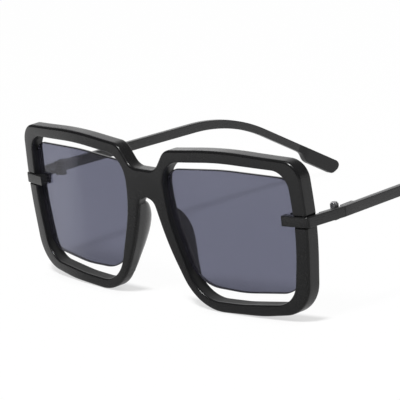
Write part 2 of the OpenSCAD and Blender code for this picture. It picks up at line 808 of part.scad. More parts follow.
module hinge_screw(side) {
    head_z = stack_z + stack_h;
    slot_w = hinge_head_r / 3;
    color([0.78, 0.78, 0.78])
        on_side(side)
            in_hinge()
                difference() {
                    union() {
                        translate([0, 0, stack_z])
                            cylinder(r = hinge_screw_r, h = stack_h + hinge_head_h / 2);
                        translate([0, 0, head_z])
                            cylinder(r = hinge_head_r, h = hinge_head_h);
                    }
                    translate([-hinge_head_r - overrun, -slot_w / 2, head_z + hinge_head_h / 2])
                        cube([2 * hinge_head_r + 2 * overrun, slot_w, hinge_head_h]);
                }
}

// The bar of the temple, bent down behind the ear, with the core that runs on into the tip
module temple_arm(side) {
    color([0.18, 0.18, 0.19])
        on_side(side)
            in_hinge() {
                side_slab(bar_in, bar_t)
                    polygon(arm_outline);
                side_slab(bar_in + (bar_t - core_t) / 2, core_t)
                    polygon(core_outline(0));
            }
}

// A plate with chamfered edges, whose outline lies in the side view
module chamfered_plate(outline, thickness, chamfer) {
    count = len(outline);
    inner = [for (i = [0:count - 1]) outline[i] + into_rim(outline, i, 1) * chamfer];
    rings = [
        [inner, 0],
        [outline, chamfer],
        [outline, thickness - chamfer],
        [inner, thickness],
    ];
    points = [for (ring = rings) for (p = ring[0]) [ring[1], p.x, p.y]];
    walls = [for (r = [0:2]) for (i = [0:count - 1])
        let (next = (i + 1) % count, a = r * count)
        each [[a + i, a + next, a + count + next], [a + i, a + count + next, a + count + i]]];
    caps = [[for (i = [count - 1:-1:0]) i], [for (i = [0:count - 1]) 3 * count + i]];
    polyhedron(points = points, faces = concat(walls, caps));
}

module temple_tip(side) {
    color([0.09, 0.09, 0.1])
        on_side(side)
            in_hinge()
                difference() {
                    translate([bar_in + (bar_t - tip_t) / 2, 0, 0])
                        chamfered_plate(tip_outline, tip_t, tip_chamfer);
                    side_slab(bar_in + (bar_t - core_t) / 2 - fit, core_t + 2 * fit)
                        polygon(core_outline(fit));
                }
}

front_frame();
nose_pad(1);  // nose_pad_left
nose_pad(-1);  // nose_pad_right
lens(1);  // lens_left
lens(-1);  // lens_right
end_piece(1);  // end_piece_left
end_piece(-1);  // end_piece_right
lens_clamp(1);  // lens_clamp_left
lens_clamp(-1);  // lens_clamp_right
clamp_screw(1);  // clamp_screw_left
clamp_screw(-1);  // clamp_screw_right
rim_screw(1);  // rim_screw_left
rim_screw(-1);  // rim_screw_right
front_leaf(1);  // front_leaf_left
front_leaf(-1);  // front_leaf_right
hinge_screw(1);  // hinge_screw_left
hinge_screw(-1);  // hinge_screw_right
temple_leaf(1);  // temple_leaf_left
temple_leaf(-1);  // temple_leaf_right
temple_arm(1);  // temple_arm_left
temple_arm(-1);  // temple_arm_right
temple_tip(1);  // temple_tip_left
temple_tip(-1);  // temple_tip_right
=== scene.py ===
"""Oversized sunglasses with large squared rims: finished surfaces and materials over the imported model.

Every piece is worked out in metres in the model's own frame: +X is the wearer's left, the front faces -Y,
the temples run back along +Y and +Z is up.
"""

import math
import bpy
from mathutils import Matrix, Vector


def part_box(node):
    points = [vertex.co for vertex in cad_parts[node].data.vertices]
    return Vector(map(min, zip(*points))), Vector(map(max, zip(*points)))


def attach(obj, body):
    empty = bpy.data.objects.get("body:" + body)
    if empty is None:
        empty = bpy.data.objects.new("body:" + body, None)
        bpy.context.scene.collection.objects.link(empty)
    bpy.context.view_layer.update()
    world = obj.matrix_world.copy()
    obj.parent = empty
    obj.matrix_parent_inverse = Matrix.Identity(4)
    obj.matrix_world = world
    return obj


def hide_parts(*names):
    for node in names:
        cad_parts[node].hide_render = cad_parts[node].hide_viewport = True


bl_info = {
    "name": "Oversized sunglasses",
    "version": (1, 0, 0),
    "blender": (4, 5, 0),
    "location": "3D View > Sidebar > Sunglasses",
    "description": "Builds moulded rims, tinted lenses, end pieces, hinges and folding temples",
    "category": "Add Mesh",
}

import bmesh
import bpy
import numpy as np
from bpy.props import FloatProperty, FloatVectorProperty, PointerProperty
from mathutils import Matrix, Vector

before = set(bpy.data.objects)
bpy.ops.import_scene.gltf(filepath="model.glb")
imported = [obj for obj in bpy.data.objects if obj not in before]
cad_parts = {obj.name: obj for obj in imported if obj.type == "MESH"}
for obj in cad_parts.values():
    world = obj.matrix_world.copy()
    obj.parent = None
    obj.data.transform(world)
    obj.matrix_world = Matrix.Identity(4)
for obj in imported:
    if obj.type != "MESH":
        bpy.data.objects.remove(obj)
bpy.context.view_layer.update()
FRONT_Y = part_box("front_frame")[0].y

# Corners of a rim's outline as shares of half the front's width and of its height, with the corner's radius
# as a share of the height, from the bridge over the top, down the temple side and up the nose
RIM_CORNERS = np.array([
    [0.085, 0.826, 0.12],
    [0.166, 0.965, 0.106],
    [0.516, 1.002, 3],
    [0.988, 0.969, 0.123],
    [1.006, 0.568, 2.64],
    [0.959, 0.06, 0.278],
    [0.682, 0.011, 1.18],
    [0.277, -0.007, 0.383],
    [0.117, 0.378, 1.48],
    [0.053, 0.633, 0.122],
])
BRIDGE_TOP, ARCH_TOP = 0.826, 0.652
# Corners of an opening: how far in from its corner of the outline, as shares of the rim's widths, its
# radius as a share of the height, which corner of the outline it follows, and which widths it takes
OPENING_CORNERS = np.array([
    [-0.4, -0.99, 0.178],
    [0, -0.99, 2.3],
    [-1.03, -0.81, 0.12],
    [-1, -0.6, 2.6],
    [-1.12, 0.7, 0.17],
    [-1.65, 0.86, 1.2],
    [0.1, 1, 0.31],
    [1, -0.74, 0.84],
])
OPENING_FOLLOWS = [1, 2, 3, 4, 5, 6, 7, 9]
OPENING_WIDTHS = ["nt", "nt", "st", "st", "sb", "sb", "nb", "nt"]
# Places of the lower nose corner and of the last one among the corners that follow the first
NOSE_CORNER, LAST_CORNER = 6, 9
# Most of a side that one rounded corner may take, on the front and the lenses and on a tip
CORNER_REACH, TIP_REACH = 0.49, 0.6
# Points on a rounded corner: as many as in the solids where places are read off, and more in the meshes
PLACE_POINTS, RIM_POINTS, LENS_POINTS, TIP_POINTS, ARM_POINTS = 7, 22, 16, 24, 40
# Points that part the straight stretches: half the bridge, a temple's bar, and its end behind the bend
BRIDGE_POINTS, BAR_POINTS, EAR_POINTS = 9, 12, 4
# Points round a plate's edges, and round an end piece's outer and inner bend
PROFILE_POINTS, OUTER_BEND, INNER_BEND = 5, 12, 6
# A length that counts as none
TINY = 1e-9
# Clearances: round an end piece in its notch, between it and the lens, and under a nose pad
NOTCH_GAP, LENS_GAP, PAD_GAP = 0.00006, 0.00003, 0.00002


def length(name, description, default):
    """A size that the sidebar shows as a length."""
    return FloatProperty(name=name, description=description, default=default, unit="LENGTH", precision=5, min=0)


def tint(name, description, default):
    """A colour that the sidebar shows as a swatch."""
    return FloatVectorProperty(name=name, description=description, default=default, subtype="COLOR", size=3,
                               min=0, max=1)


def share(name, description, default):
    """A number from 0 to 1."""
    return FloatProperty(name=name, description=description, default=default, subtype="FACTOR", min=0, max=1)


def angle(name, description, degrees):
    """An angle that the sidebar shows in degrees."""
    return FloatProperty(name=name, description=description, default=math.radians(degrees), subtype="ANGLE")


def power(name, description, default):
    """The power of a lamp."""
    return FloatProperty(name=name, description=description, default=default, unit="POWER", min=0)


def sizes(group):
    """The scene's values of one group: front, lens, temple, finish or stage."""
    return getattr(bpy.context.scene, "sunglasses_" + group)


class FrontSizes(bpy.types.PropertyGroup):
    """Sizes of the moulded front"""

    width: length("Width", "Across both rims", 0.1474)
    height: length("Height", "Of the rims", 0.0575)
    depth: length("Depth", "From the face to the back", 0.0052)
    wrap: length("Wrap radius", "Radius that the front is bent to", 0.434)
    top_w: length("Top width", "Of a rim above the lens", 0.0044)
    bottom_w: length("Bottom width", "Of a rim below the lens", 0.0039)
    side_w: length("Side width", "Of a rim on the temple side", 0.0051)
    nasal_w: length("Nasal width", "Of a rim beside the nose", 0.006)
    face_round: length("Face rounding", "Radius along the openings' edges on the face", 0.0005)
    outer_round: length("Outer rounding", "Radius along the outline's edge on the face", 0.0009)
    back_round: length("Back rounding", "Radius along the edges of the back", 0.0006)
    lip_round: length("Lip rounding", "Radius of the lips of the notch for an end piece", 0.0007)
    nose_bevel: length("Nose bevel", "Along the back edge beside the nose", 0.0016)
    pad_drop: length("Pad drop", "Of a nose pad's top below the nose arch", 0.0032)
    pad_height: length("Pad height", "Of a nose pad along the rim", 0.027)
    pad_reach: length("Pad reach", "How far a nose pad stands out behind the rim", 0.0045)
    pad_skin: length("Pad skin", "Thickness of a pad along the rim's side", 0.00035)
    pad_flare: length("Pad flare", "How far the pad's ridge leans away from the nose", 0.0042)
    pad_foot: length("Pad foot", "Width of a pad where it is glued to the rim", 0.0044)


class LensSizes(bpy.types.PropertyGroup):
    """Sizes of the lenses"""

    thickness: length("Thickness", "Of a lens", 0.0012)
    radius: length("Radius", "That a lens is bent to", 0.3)
    depth: length("Depth", "Behind the rim's face, where the lens enters the rim", 0.0024)
    seat: length("Seat", "How far a lens reaches into the rim's sides", 0.0008)
    slot_top: length("Top slot", "Gap between a lens and the rim above it", 0.0028)
    slot_bottom: length("Bottom slot", "Gap between a lens and the rim below it", 0.0035)
    nasal_rise: length("Nasal rise", "Of that gap at the end beside the nose", 0.0012)
    edge: length("Edge rounding", "Radius of a lens's edges", 0.00025)


class TempleSizes(bpy.types.PropertyGroup):
    """Sizes of the end pieces, hinges, temples and tips"""

    bar_h: length("Bar height", "Of the end pieces and the temples", 0.0036)
    bar_t: length("Bar thickness", "Of a temple", 0.0024)
    strap_t: length("Strap thickness", "Of an end piece over the rim's face", 0.0018)
    leg_t: length("Leg thickness", "Of an end piece beside the rim", 0.0019)
    strap_proud: length("Strap proud", "How far the strap stands out of the rim's face", 0.00025)
    strap_bend: length("Strap bend", "Radius of an end piece's outer bend", 0.0018)
    strap_side: length("Strap side", "How far an end piece stands beyond the rim's side", 0.0009)
    inreach: length("Inreach", "How far an end piece reaches in over the lens", 0.0049)
    block: length("Block", "Length of the block that meets the lens", 0.0042)
    hinge_h: length("Hinge height", "Of the bars' middle above the rims' lowest edge", 0.0354)
    hinge_back: length("Hinge back", "Of the hinge axis behind the front's outer corner", 0.0148)
    joint_back: length("Joint back", "Of the joint behind the hinge axis", 0.0006)
    joint_out: length("Joint out", "Of a temple's outer face beyond the rim's side", 0.0026)
    joint_gap: length("Joint gap", "Between an end piece and its temple", 0.00015)
    knuckle_r: length("Knuckle radius", "Of the hinge's knuckles", 0.00145)
    knuckle_gap: length("Knuckle gap", "Between the knuckles and the bars", 0.00025)
    bar_end_h: length("Bar end height", "Of a temple where its tip begins", 0.003)
    temple: length("Temple length", "From the joint to the end of the tip", 0.133)
    ear_bend: length("Ear bend", "Radius of the bend over the ear", 0.076)
    splay: angle("Splay", "Angle that each temple leans in", 3)
    slope: angle("Slope", "Angle that a temple runs down", 0.9)
    drop: angle("Drop", "Angle of a temple's end behind the ear", 32)
    tip_len: length("Tip length", "Of a tip along its top", 0.0245)
    tip_h: length("Tip height", "Of a tip", 0.0056)
    tip_t: length("Tip thickness", "Of a tip", 0.0034)
    tip_end: length("Tip end radius", "Of the corners at the end of a tip", 0.0021)
    tip_slant: length("Tip slant", "How far a tip's end slants back below its top", 0.0039)
    tip_collar: length("Tip collar", "Length of a tip's start, as tall as the bar", 0.0022)
    tip_step: length("Tip step", "Length of the slope where a tip grows taller", 0.0034)
    tip_bend: length("Tip bend", "Radius that rounds that slope at both ends", 0.005)
    bar_round: length("Bar rounding", "Radius along the edges of the metal bars", 0.00028)
    tip_round: length("Tip rounding", "Radius along the edges of a tip", 0.0006)


class Finishes(bpy.types.PropertyGroup):
    """Colours and gloss"""

    front: tint("Front", "Moulded front", (0.0105, 0.0105, 0.011))
    pads: tint("Pads", "Polished nose pads", (0.009, 0.009, 0.01))
    coating: tint("Coating", "Black coating of the metal bars", (0.0125, 0.0125, 0.013))
    # painted light: the temples carry a paler copy of the end pieces' coating, so that they read brighter
    arms: tint("Arms", "The same coating on the temples, which is a little paler", (0.024, 0.024, 0.0245))
    tips: tint("Tips", "Sleeves of the tips", (0.006, 0.006, 0.0065))
    steel: tint("Steel", "Screws", (0.38, 0.38, 0.39))
    lens: tint("Lens", "What the clear share of a lens's face lets through", (0.834, 0.851, 1.0))
    lens_dense: share("Lens density", "Share of a lens's face that lets nothing through", 0.577)
    front_rough: share("Front roughness", "Of the moulded front", 0.25)
    bar_rough: share("Bar roughness", "Of the black coating", 0.27)


class StageSettings(bpy.types.PropertyGroup):
    """Floor, lamps and camera"""

    azimuth: angle("Azimuth", "Of the camera from the front", 50.05)
    elevation: angle("Elevation", "Of the camera", 14.49)
    roll: angle("Roll", "Of the camera about its view", -7.33)
    focal: FloatProperty(name="Focal length", description="Of the camera, in millimetres", default=251.03, min=1)
    world: FloatProperty(name="World strength", description="Of the plain light from all round", default=0.36, min=0)
    key: power("Key power", "Of the lamp above", 7.8)
    fill: power("Fill power", "Of the lamp behind", 1.3)
    front_shade: share("Front shade", "How bright mirrors see the floor in front", 0.33)


# -------- plane curves


def unit(v):
    """v divided by its length."""
    return v / np.linalg.norm(v)


def turned(p, by):
    """Points turned about the origin by an angle: x cos - y sin, x sin + y cos."""
    p = np.asarray(p, float)
    c, s = math.cos(by), math.sin(by)
    return np.stack([p[..., 0] * c - p[..., 1] * s, p[..., 0] * s + p[..., 1] * c], axis=-1)


def meet(a, b, c, d):
    """Where the line through a and b crosses the line through c and d."""
    cross = lambda p, q: p[0] * q[1] - p[1] * q[0]
    return a + (b - a) * cross(c - a, d - c) / cross(b - a, d - c)


def corner_arc(a, p, b, radius, count, most=CORNER_REACH):
    """Arc that touches the lines from p to a and to b: its centre lies on their bisector at radius over the
    sine of the half angle, and its points are swept by equal angles. It takes at most a share of each line."""
    u, v = unit(a - p), unit(b - p)
    half = math.acos(np.clip(u @ v, -1, 1)) / 2
    reach = min(radius / math.tan(half), most * min(np.linalg.norm(a - p), np.linalg.norm(b - p)))
    r = reach * math.tan(half)
    centre = p + unit(u + v) * r / math.sin(half)
    start = math.atan2(*(p + u * reach - centre)[::-1])
    end = math.atan2(*(p + v * reach - centre)[::-1])
    at = start + ((end - start + 3 * math.pi) % (2 * math.pi) - math.pi) * np.linspace(0, 1, count)
    return centre + r * np.stack([np.cos(at), np.sin(at)], axis=1)


def rounded(corners, radii, count, most=CORNER_REACH):
    """The arcs of a closed outline's corners, one after another."""
    n = len(corners)
    return [corner_arc(corners[i - 1], corners[i], corners[(i + 1) % n], radii[i], count, most) if radii[i] > 0
            else corners[i][None] for i in range(n)]


def between(a, b, count):
    """The points strictly between a and b that part the line evenly."""
    t = np.arange(1, count + 1)[:, None] / (count + 1)
    return a + (b - a) * t


def inward(outline):
    """Unit normals that point into a closed outline which runs clockwise: along turned right."""
    along = np.roll(outline, -1, axis=0) - np.roll(outline, 1, axis=0)
    along /= np.linalg.norm(along, axis=1)[:, None]
    return np.stack([along[:, 1], -along[:, 0]], axis=1)


def clockwise(outline):
    """The outline in clockwise order: its signed area is the sum of crosses over two."""
    x, y = outline[:, 0], outline[:, 1]
    area = np.sum(x * np.roll(y, -1) - y * np.roll(x, -1))
    return outline if area < 0 else outline[::-1]


# -------- shapes shared by the pieces


def wrap(x):
    """Setback of the bent front at x: R less the square root of R squared less x squared."""
    r = sizes("front").wrap
    return r - np.sqrt(r * r - np.asarray(x) ** 2)


def rim_lines(count):
    """Stations round one rim. Each pairs a point of the outline, (x, z, share of the nose bevel), with a point
    of the opening, (x, z). The bevel grows along the lower nose corner's arc and runs on up to the arch. Also
    the opening's corners and their radii, and the height of the arch."""
    s = sizes("front")
    corners = RIM_CORNERS[:, :2] * (s.width / 2, s.height)
    bridge, arch = np.array([0, BRIDGE_TOP * s.height]), np.array([0, ARCH_TOP * s.height])
    ends = np.vstack([bridge, corners, arch])
    arcs = lambda n: [corner_arc(*ends[i:i + 3], radius * s.height, n) for i, radius in enumerate(RIM_CORNERS[:, 2])]
    foot = np.array([0, min(a[:, 1].min() for a in arcs(PLACE_POINTS))])
    widths = {"n": s.nasal_w, "s": s.side_w, "t": s.top_w, "b": s.bottom_w}
    across = np.array([[widths[side], widths[level]] for side, level in OPENING_WIDTHS])
    opening = corners[OPENING_FOLLOWS] + OPENING_CORNERS[:, :2] * across - foot
    radii = OPENING_CORNERS[:, 2] * s.height
    outer, inner = arcs(count), rounded(opening, radii, count)
    outline = np.vstack([*outer[1:], arch, between(arch, bridge, BRIDGE_POINTS), bridge, outer[0]]) - foot
    bevel = np.zeros((len(outline), 1))
    nose, last = NOSE_CORNER * count, LAST_CORNER * count
    bevel[nose:nose + count, 0] = np.linspace(0, 1, count)
    bevel[nose + count:last] = 1
    hole = np.vstack([*inner[:-1], between(inner[-2][-1], inner[-1][0], count), inner[-1]])
    hole = np.vstack([hole, between(inner[-1][-1], inner[0][0], len(outline) - len(hole))])
    return np.hstack([outline, bevel]), hole, opening, radii, float(arch[1] - foot[1])


def lens_lines(count):
    """Outline of a lens, (x, z), and the upright axis that it is bent about, (x, y)."""
    s, l = sizes("front"), sizes("lens")
    _, _, o, radii, _ = rim_lines(PLACE_POINTS)
    seat, top, bottom = l.seat, -l.slot_top, l.slot_bottom
    corners = o + [[-seat, top], [0, top], [seat, top], [seat, 0], [seat, bottom],
                   [0, bottom], [-seat, bottom + l.nasal_rise], [-seat, 0]]
    # the lower corners at both ends slide along the sides on which they lie
    for low, high in ((4, 3), (6, 7)):
        run, rise = o[high] - o[low]
        corners[low, 0] += (corners[low, 1] - o[low, 1]) * run / rise
    mid, half = (o[7][0] + o[3][0]) / 2, (o[3][0] - o[7][0]) / 2
    sagitta = lambda r: r - math.sqrt(r * r - half * half)
    back = l.depth - sagitta(l.radius) + sagitta(s.wrap) + l.radius
    axis = np.array([mid, wrap(mid)]) + turned([0, back], math.asin(mid / s.wrap))
    return np.vstack(rounded(corners, radii, count)), axis


class EndPiecePlan:
    """Places along an end piece and about its hinge, (x, y), before the part's own shift along Y."""

    def __init__(self):
        s, t = sizes("front"), sizes("temple")
        half, self.splay = s.width / 2, t.splay
        strap_x = half - s.side_w / 2
        self.turn = math.asin(strap_x / s.wrap)
        self.origin = np.array([strap_x, wrap(strap_x)])
        self.bar_in = t.knuckle_r + t.knuckle_gap
        bar_out = self.bar_in + t.bar_t
        self.hinge = np.array([
            half + t.joint_out - bar_out * math.cos(t.splay) + t.joint_back * math.sin(t.splay),
            float(wrap(half)) + t.hinge_back])
        self.strap_out = self.strap(s.side_w / 2 + t.strap_side, -t.strap_proud)
        self.leg_out = self.about(bar_out, t.joint_back)
        along = unit(self.leg_out - self.strap_out)
        self.leg_normal = np.array([along[1], -along[0]])
        inset = -self.leg_normal * t.leg_t
        self.leg_in = meet(self.strap_out + inset, self.leg_out + inset, self.leg_out, self.about(0, t.joint_back))
        self.under = t.strap_t - t.strap_proud
        back = self.strap(0, self.under), self.strap(half, self.under)
        self.strap_in = meet(*back, self.leg_in - along, self.leg_in)
        self.start = -s.side_w / 2 - t.inreach
        self.end = self.start + t.block
        self.lens_axis = turned(lens_lines(PLACE_POINTS)[1] - self.origin, -self.turn)

    def strap(self, x, depth):
        """A place along the strap and behind the plane that touches the rim's face."""
        return self.origin + turned([x, depth], self.turn)

    def about(self, x, back):
        """A place outwards from the hinge axis and back along the temple."""
        return self.hinge + turned([x, back], self.splay)

    def on_lens(self, x, r):
        """A place along the strap on the surface of radius r about the lens's axis."""
        return self.strap(x, self.lens_axis[1] - math.sqrt(r * r - (x - self.lens_axis[0]) ** 2))


def tip_lines(count):
    """Outline of a tip and the line of the bar, in distances back from the hinge axis and heights."""
    t = sizes("temple")
    down, up = np.array([math.cos(t.drop), -math.sin(t.drop)]), np.array([math.sin(t.drop), math.cos(t.drop)])
    corners = np.array([[0, 0], [t.tip_len, 0], [t.tip_len - t.tip_slant, -t.tip_h],
                        [t.tip_collar + t.tip_step, -t.tip_h], [t.tip_collar, -t.bar_end_h], [0, -t.bar_end_h]])
    radii = [0, t.tip_end, t.tip_end, t.tip_bend, t.tip_bend, 0]
    placed = lambda n: turned(np.vstack(rounded(corners, radii, n, TIP_REACH)), -t.drop)
    coarse = placed(PLACE_POINTS)
    move = np.array([t.joint_back + t.temple - coarse[:, 0].max(), -coarse[:, 1].min()])
    return placed(count) + move, move - up * t.bar_end_h / 2, down, up


def arm_outline(count):
    """Side view of a temple's bar, from the lower corner at its tip round to the upper one: along each edge
    a line, an arc of the bend's radius and a line, at half the bar's height from its middle."""
    t = sizes("temple")
    _, end, down, up = tip_lines(PLACE_POINTS)
    run = np.array([math.cos(t.slope), -math.sin(t.slope)])
    over = np.array([math.sin(t.slope), math.cos(t.slope)])
    start = np.array([t.joint_back + t.joint_gap, t.hinge_h])

    def edge(side):
        a, b = start + over * side * t.bar_h / 2, end + up * side * t.bar_end_h / 2
        radius = t.ear_bend + side * (t.bar_h + t.bar_end_h) / 4
        bend = corner_arc(a, meet(a, a + run, b, b + down), b, radius, count)
        return np.vstack([a, between(a, bend[0], BAR_POINTS), bend, between(bend[-1], b, EAR_POINTS), b])

    return np.vstack([edge(-1)[::-1], edge(1)])


# -------- meshes


def put(name, data):
    """A new object of some data in the scene."""
    obj = bpy.data.objects.new(name, data)
    bpy.context.scene.collection.objects.link(obj)
    return obj


def put_mesh(name, points, faces):
    """A mesh object of points (n, 3) and a list of face arrays, each (m, corners). Faces are turned outwards
    by the sign of the volume, which is the sum of the corners' triple products."""
    volume = 0.0
    for f in faces:
        for k in range(1, f.shape[1] - 1):
            a, b, c = points[f[:, 0]], points[f[:, k]], points[f[:, k + 1]]
            volume += np.sum(a * np.cross(b, c))
    if volume < 0:
        faces = [f[:, ::-1] for f in faces]
    mesh = bpy.data.meshes.new(name)
    mesh.from_pydata(points, [], [corners for f in faces for corners in f.tolist()])
    mesh.validate()
    return put(name, mesh)


def shade(obj, crisp):
    """Smooth shading, with edges that turn by more than an angle in degrees kept crisp."""
    obj.data.shade_smooth()
    obj.data.set_sharp_from_angle(angle=math.radians(crisp))
    return obj


def grid_quads(rows, columns, steps):
    """Quads of a grid whose columns close round, over a number of steps from row to row, where the first row
    follows the last one again. Also the row and the column at which each quad starts."""
    i, j = (a.ravel() for a in np.meshgrid(np.arange(steps), np.arange(columns), indexing="ij"))
    n, k = (i + 1) % rows, (j + 1) % columns
    return np.stack([i * columns + j, i * columns + k, n * columns + k, n * columns + j], axis=1), i, j


def tube_faces(rows, columns):
    """Quads from row to row and a flat face at either end."""
    end = np.arange(columns)[None]
    return [grid_quads(rows, columns, rows - 1)[0], end[:, ::-1], end + (rows - 1) * columns]


def point_attribute(obj, name, values):
    """Gives each point of a piece a number that its material reads."""
    obj.data.attributes.new(name, "FLOAT", "POINT").data.foreach_set("value", values.astype(np.float32))


def plate(name, outline, profile, place, butt=False):
    """A plate whose edge has a profile: for each (inset, height), the outline moved in along its normals by
    the inset. place(points, height) stands it in the model. The first and last rings are its flat faces. With
    a butt, the edge between the outline's last point and its first one stays plain."""
    outline = clockwise(outline)
    normals = inward(outline)
    if butt:
        sides = np.stack([unit(outline[1] - outline[0]), unit(outline[-1] - outline[-2])])
        normals[[0, -1]] = np.stack([sides[:, 1], -sides[:, 0]], axis=1)
    rings = [place(outline + normals * inset, height) for inset, height in profile]
    return put_mesh(name, np.concatenate(rings), tube_faces(len(rings), len(outline)))


def quarter_round(radius, count):
    """Insets and depths along a quarter-round edge, from the side to the flat: r - r cos and r - r sin."""
    q = np.radians(np.linspace(0, 90, count))
    return radius * (1 - np.cos(q)), radius * (1 - np.sin(q))


def round_profile(thickness, radius):
    """Profile of a plate with quarter-round edges, from one flat face to the other."""
    low = list(zip(*quarter_round(radius, PROFILE_POINTS)))[::-1]
    return low + [(inset, thickness - height) for inset, height in low[::-1]]


def mirrored(obj, name):
    """A copy on the other side of the plane X = 0, with its faces turned back outwards."""
    mesh = obj.data.copy()
    mesh.transform(Matrix.Scale(-1, 4, Vector((1, 0, 0))))
    mesh.flip_normals()
    mesh.name = name
    return put(name, mesh)


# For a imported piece: the distance within which points are one, the angle up to which faces are one, and the
# angle from which an edge is bevelled, in degrees
ONE_POINT, ONE_FACE, BEVELLED = 2e-6, 1, 30


def softened(node, width):
    """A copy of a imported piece, its triangles merged, with its edges bevelled by a width."""
    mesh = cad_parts[node].data.copy()
    bm = bmesh.new()
    bm.from_mesh(mesh)
    bmesh.ops.remove_doubles(bm, verts=bm.verts, dist=ONE_POINT)
    bmesh.ops.dissolve_limit(bm, angle_limit=math.radians(ONE_FACE), verts=bm.verts, edges=bm.edges)
    bm.to_mesh(mesh)
    bm.free()
    mesh.materials.clear()
    obj = put(node + "_finished", mesh)
    bevel = obj.modifiers.new("bevel", "BEVEL")
    bevel.width = width
    bevel.segments = 2
    bevel.limit_method = "ANGLE"
    bevel.angle_limit = math.radians(BEVELLED)
    bevel.use_clamp_overlap = True
    return shade(obj, crisp=35)


def dress(obj, material, body, slot, *nodes):
    """Gives a piece its material and body, and hides the imported nodes that it stands for. The slot is not used."""
    obj.data.materials.clear()
    obj.data.materials.append(material)
    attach(obj, body)
    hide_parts(*nodes)


def pair(make, name, material, body, slot, node):
    """A left piece and its mirror image on the right, both dressed. Braces in the body take the side."""
    left = make(name + "_left")
    dress(left, material, body.format("left"), slot, node + "_left")
    dress(mirrored(left, name + "_right"), material, body.format("right"), slot, node + "_right")


def softened_pair(bodies, width, material, slot):
    """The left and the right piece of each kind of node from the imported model, softened and dressed. Each
    kind comes with its body, in which braces take the side."""
    for side in ("left", "right"):
        for kind, body in bodies.items():
            node = f"{kind}_{side}"
            dress(softened(node, width), material, body.format(side), slot, node)


# -------- materials
# The numbers of a recipe are shares from 0 to 1 and gains on them, scales per metre, and heights in metres.


class Value:
    """A shader socket with arithmetic: each operator adds a Math node, also with a number on its left."""

    def __init__(self, nodes, socket):
        self.nodes, self.socket = nodes, socket

    def math(self, operation, *values):
        """An operation on values or numbers."""
        node = self.nodes.node("ShaderNodeMath", {"operation": operation})
        for socket, value in zip(node.inputs, values):
            self.nodes.set(socket, value)
        return Value(self.nodes, node.outputs[0])

    def __add__(self, other):
        return self.math("ADD", self, other)

    def __sub__(self, other):
        return self.math("SUBTRACT", self, other)

    def __rsub__(self, other):
        return self.math("SUBTRACT", other, self)

    def __mul__(self, other):
        return self.math("MULTIPLY", self, other)

    def __pow__(self, other):
        return self.math("POWER", self, other)

    def __abs__(self):
        return self.math("ABSOLUTE", self)

    __radd__ = __add__
    __rmul__ = __mul__

    def clipped(self, low, high):
        """Kept between two numbers."""
        return self.math("MINIMUM", self.math("MAXIMUM", self, low), high)

    def swing(self, amount):
        """A value that varies about 0.5, turned into one that varies about 0, times an amount."""
        return (self - 0.5) * amount


class Nodes:
    """A node tree in the making: node() adds any node."""

    def __init__(self, tree):
        self.tree = tree
        tree.nodes.clear()

    def node(self, kind, settings=None, **sockets):
        """A node of a kind: its settings are set first, then its sockets get a value or a link."""
        node = self.tree.nodes.new(kind)
        for key, value in (settings or {}).items():
            setattr(node, key, value)
        for key, value in sockets.items():
            self.set(node.inputs[key.replace("_", " ")], value)
        return node

    def set(self, socket, value):
        """Links a socket, or sets its value."""
        if isinstance(value, Value):
            value = value.socket
        if isinstance(value, bpy.types.NodeSocket):
            self.tree.links.new(value, socket)
        else:
            socket.default_value = value

    def values(self, outputs, kind, settings=None, **sockets):
        """The named outputs of a new node, ready for arithmetic."""
        node = self.node(kind, settings, **sockets)
        return [Value(self, node.outputs[name]) for name in outputs]

    def rays(self):
        """Whether a ray is seen, directly or through glass, whether it is mirrored, and how many faces of
        lenses it has passed."""
        names = "Is Camera Ray", "Is Transmission Ray", "Is Glossy Ray", "Transparent Depth"
        camera, glass, mirrored_in, passed = self.values(names, "ShaderNodeLightPath")
        return (camera + glass).clipped(0, 1), mirrored_in, passed


class Finish(Nodes):
    def __init__(self, name):
        self.material = bpy.data.materials.new(name)
        self.material.use_nodes = True
        super().__init__(self.material.node_tree)
        self.place = self.node("ShaderNodeTexCoord").outputs["Object"]

    def attribute(self, name):
        """The number that the mesh gives each point."""
        return self.values(["Fac"], "ShaderNodeAttribute", {"attribute_name": name})[0]

    def noise(self, scale, detail, stretch=(1, 1, 1)):
        """Noise from 0 to 1 on the piece's own coordinates, with a scale per metre."""
        place = self.node("ShaderNodeMapping", Vector=self.place, Scale=stretch).outputs[0]
        node = self.node("ShaderNodeTexNoise", Vector=place, Scale=scale, Detail=detail, Roughness=0.55)
        return Value(self, node.outputs[0])

    def mix(self, factor, a, b):
        """One colour turning into another as factor goes from 0 to 1."""
        node = self.node("ShaderNodeMix", {"data_type": "RGBA"})
        for place, value in ((0, factor), (6, (*a, 1)), (7, (*b, 1))):
            self.set(node.inputs[place], value)
        return node.outputs[2]

    def bump(self, height, strength, distance):
        """A normal from a height: strength is its share, and distance its full height in metres."""
        return self.node("ShaderNodeBump", Height=height, Strength=strength, Distance=distance).outputs[0]

    def finish(self, **sockets):
        """The material with one shader and its sockets."""
        shader = self.node("ShaderNodeBsdfPrincipled", **sockets)
        self.node("ShaderNodeOutputMaterial", Surface=shader.outputs[0])
        return self.material

    def blend(self, factor, first, second):
        """The material with one shader turning into another as factor goes from 0 to 1."""
        both = self.node("ShaderNodeMixShader")
        for socket, value in zip(both.inputs, (factor, first.outputs[0], second.outputs[0])):
            self.set(socket, value)
        self.node("ShaderNodeOutputMaterial", Surface=both.outputs[0])
        return self.material


def lighter(colour, by):
    """A colour moved towards white by a share."""
    return tuple(c + (1 - c) * by for c in colour)


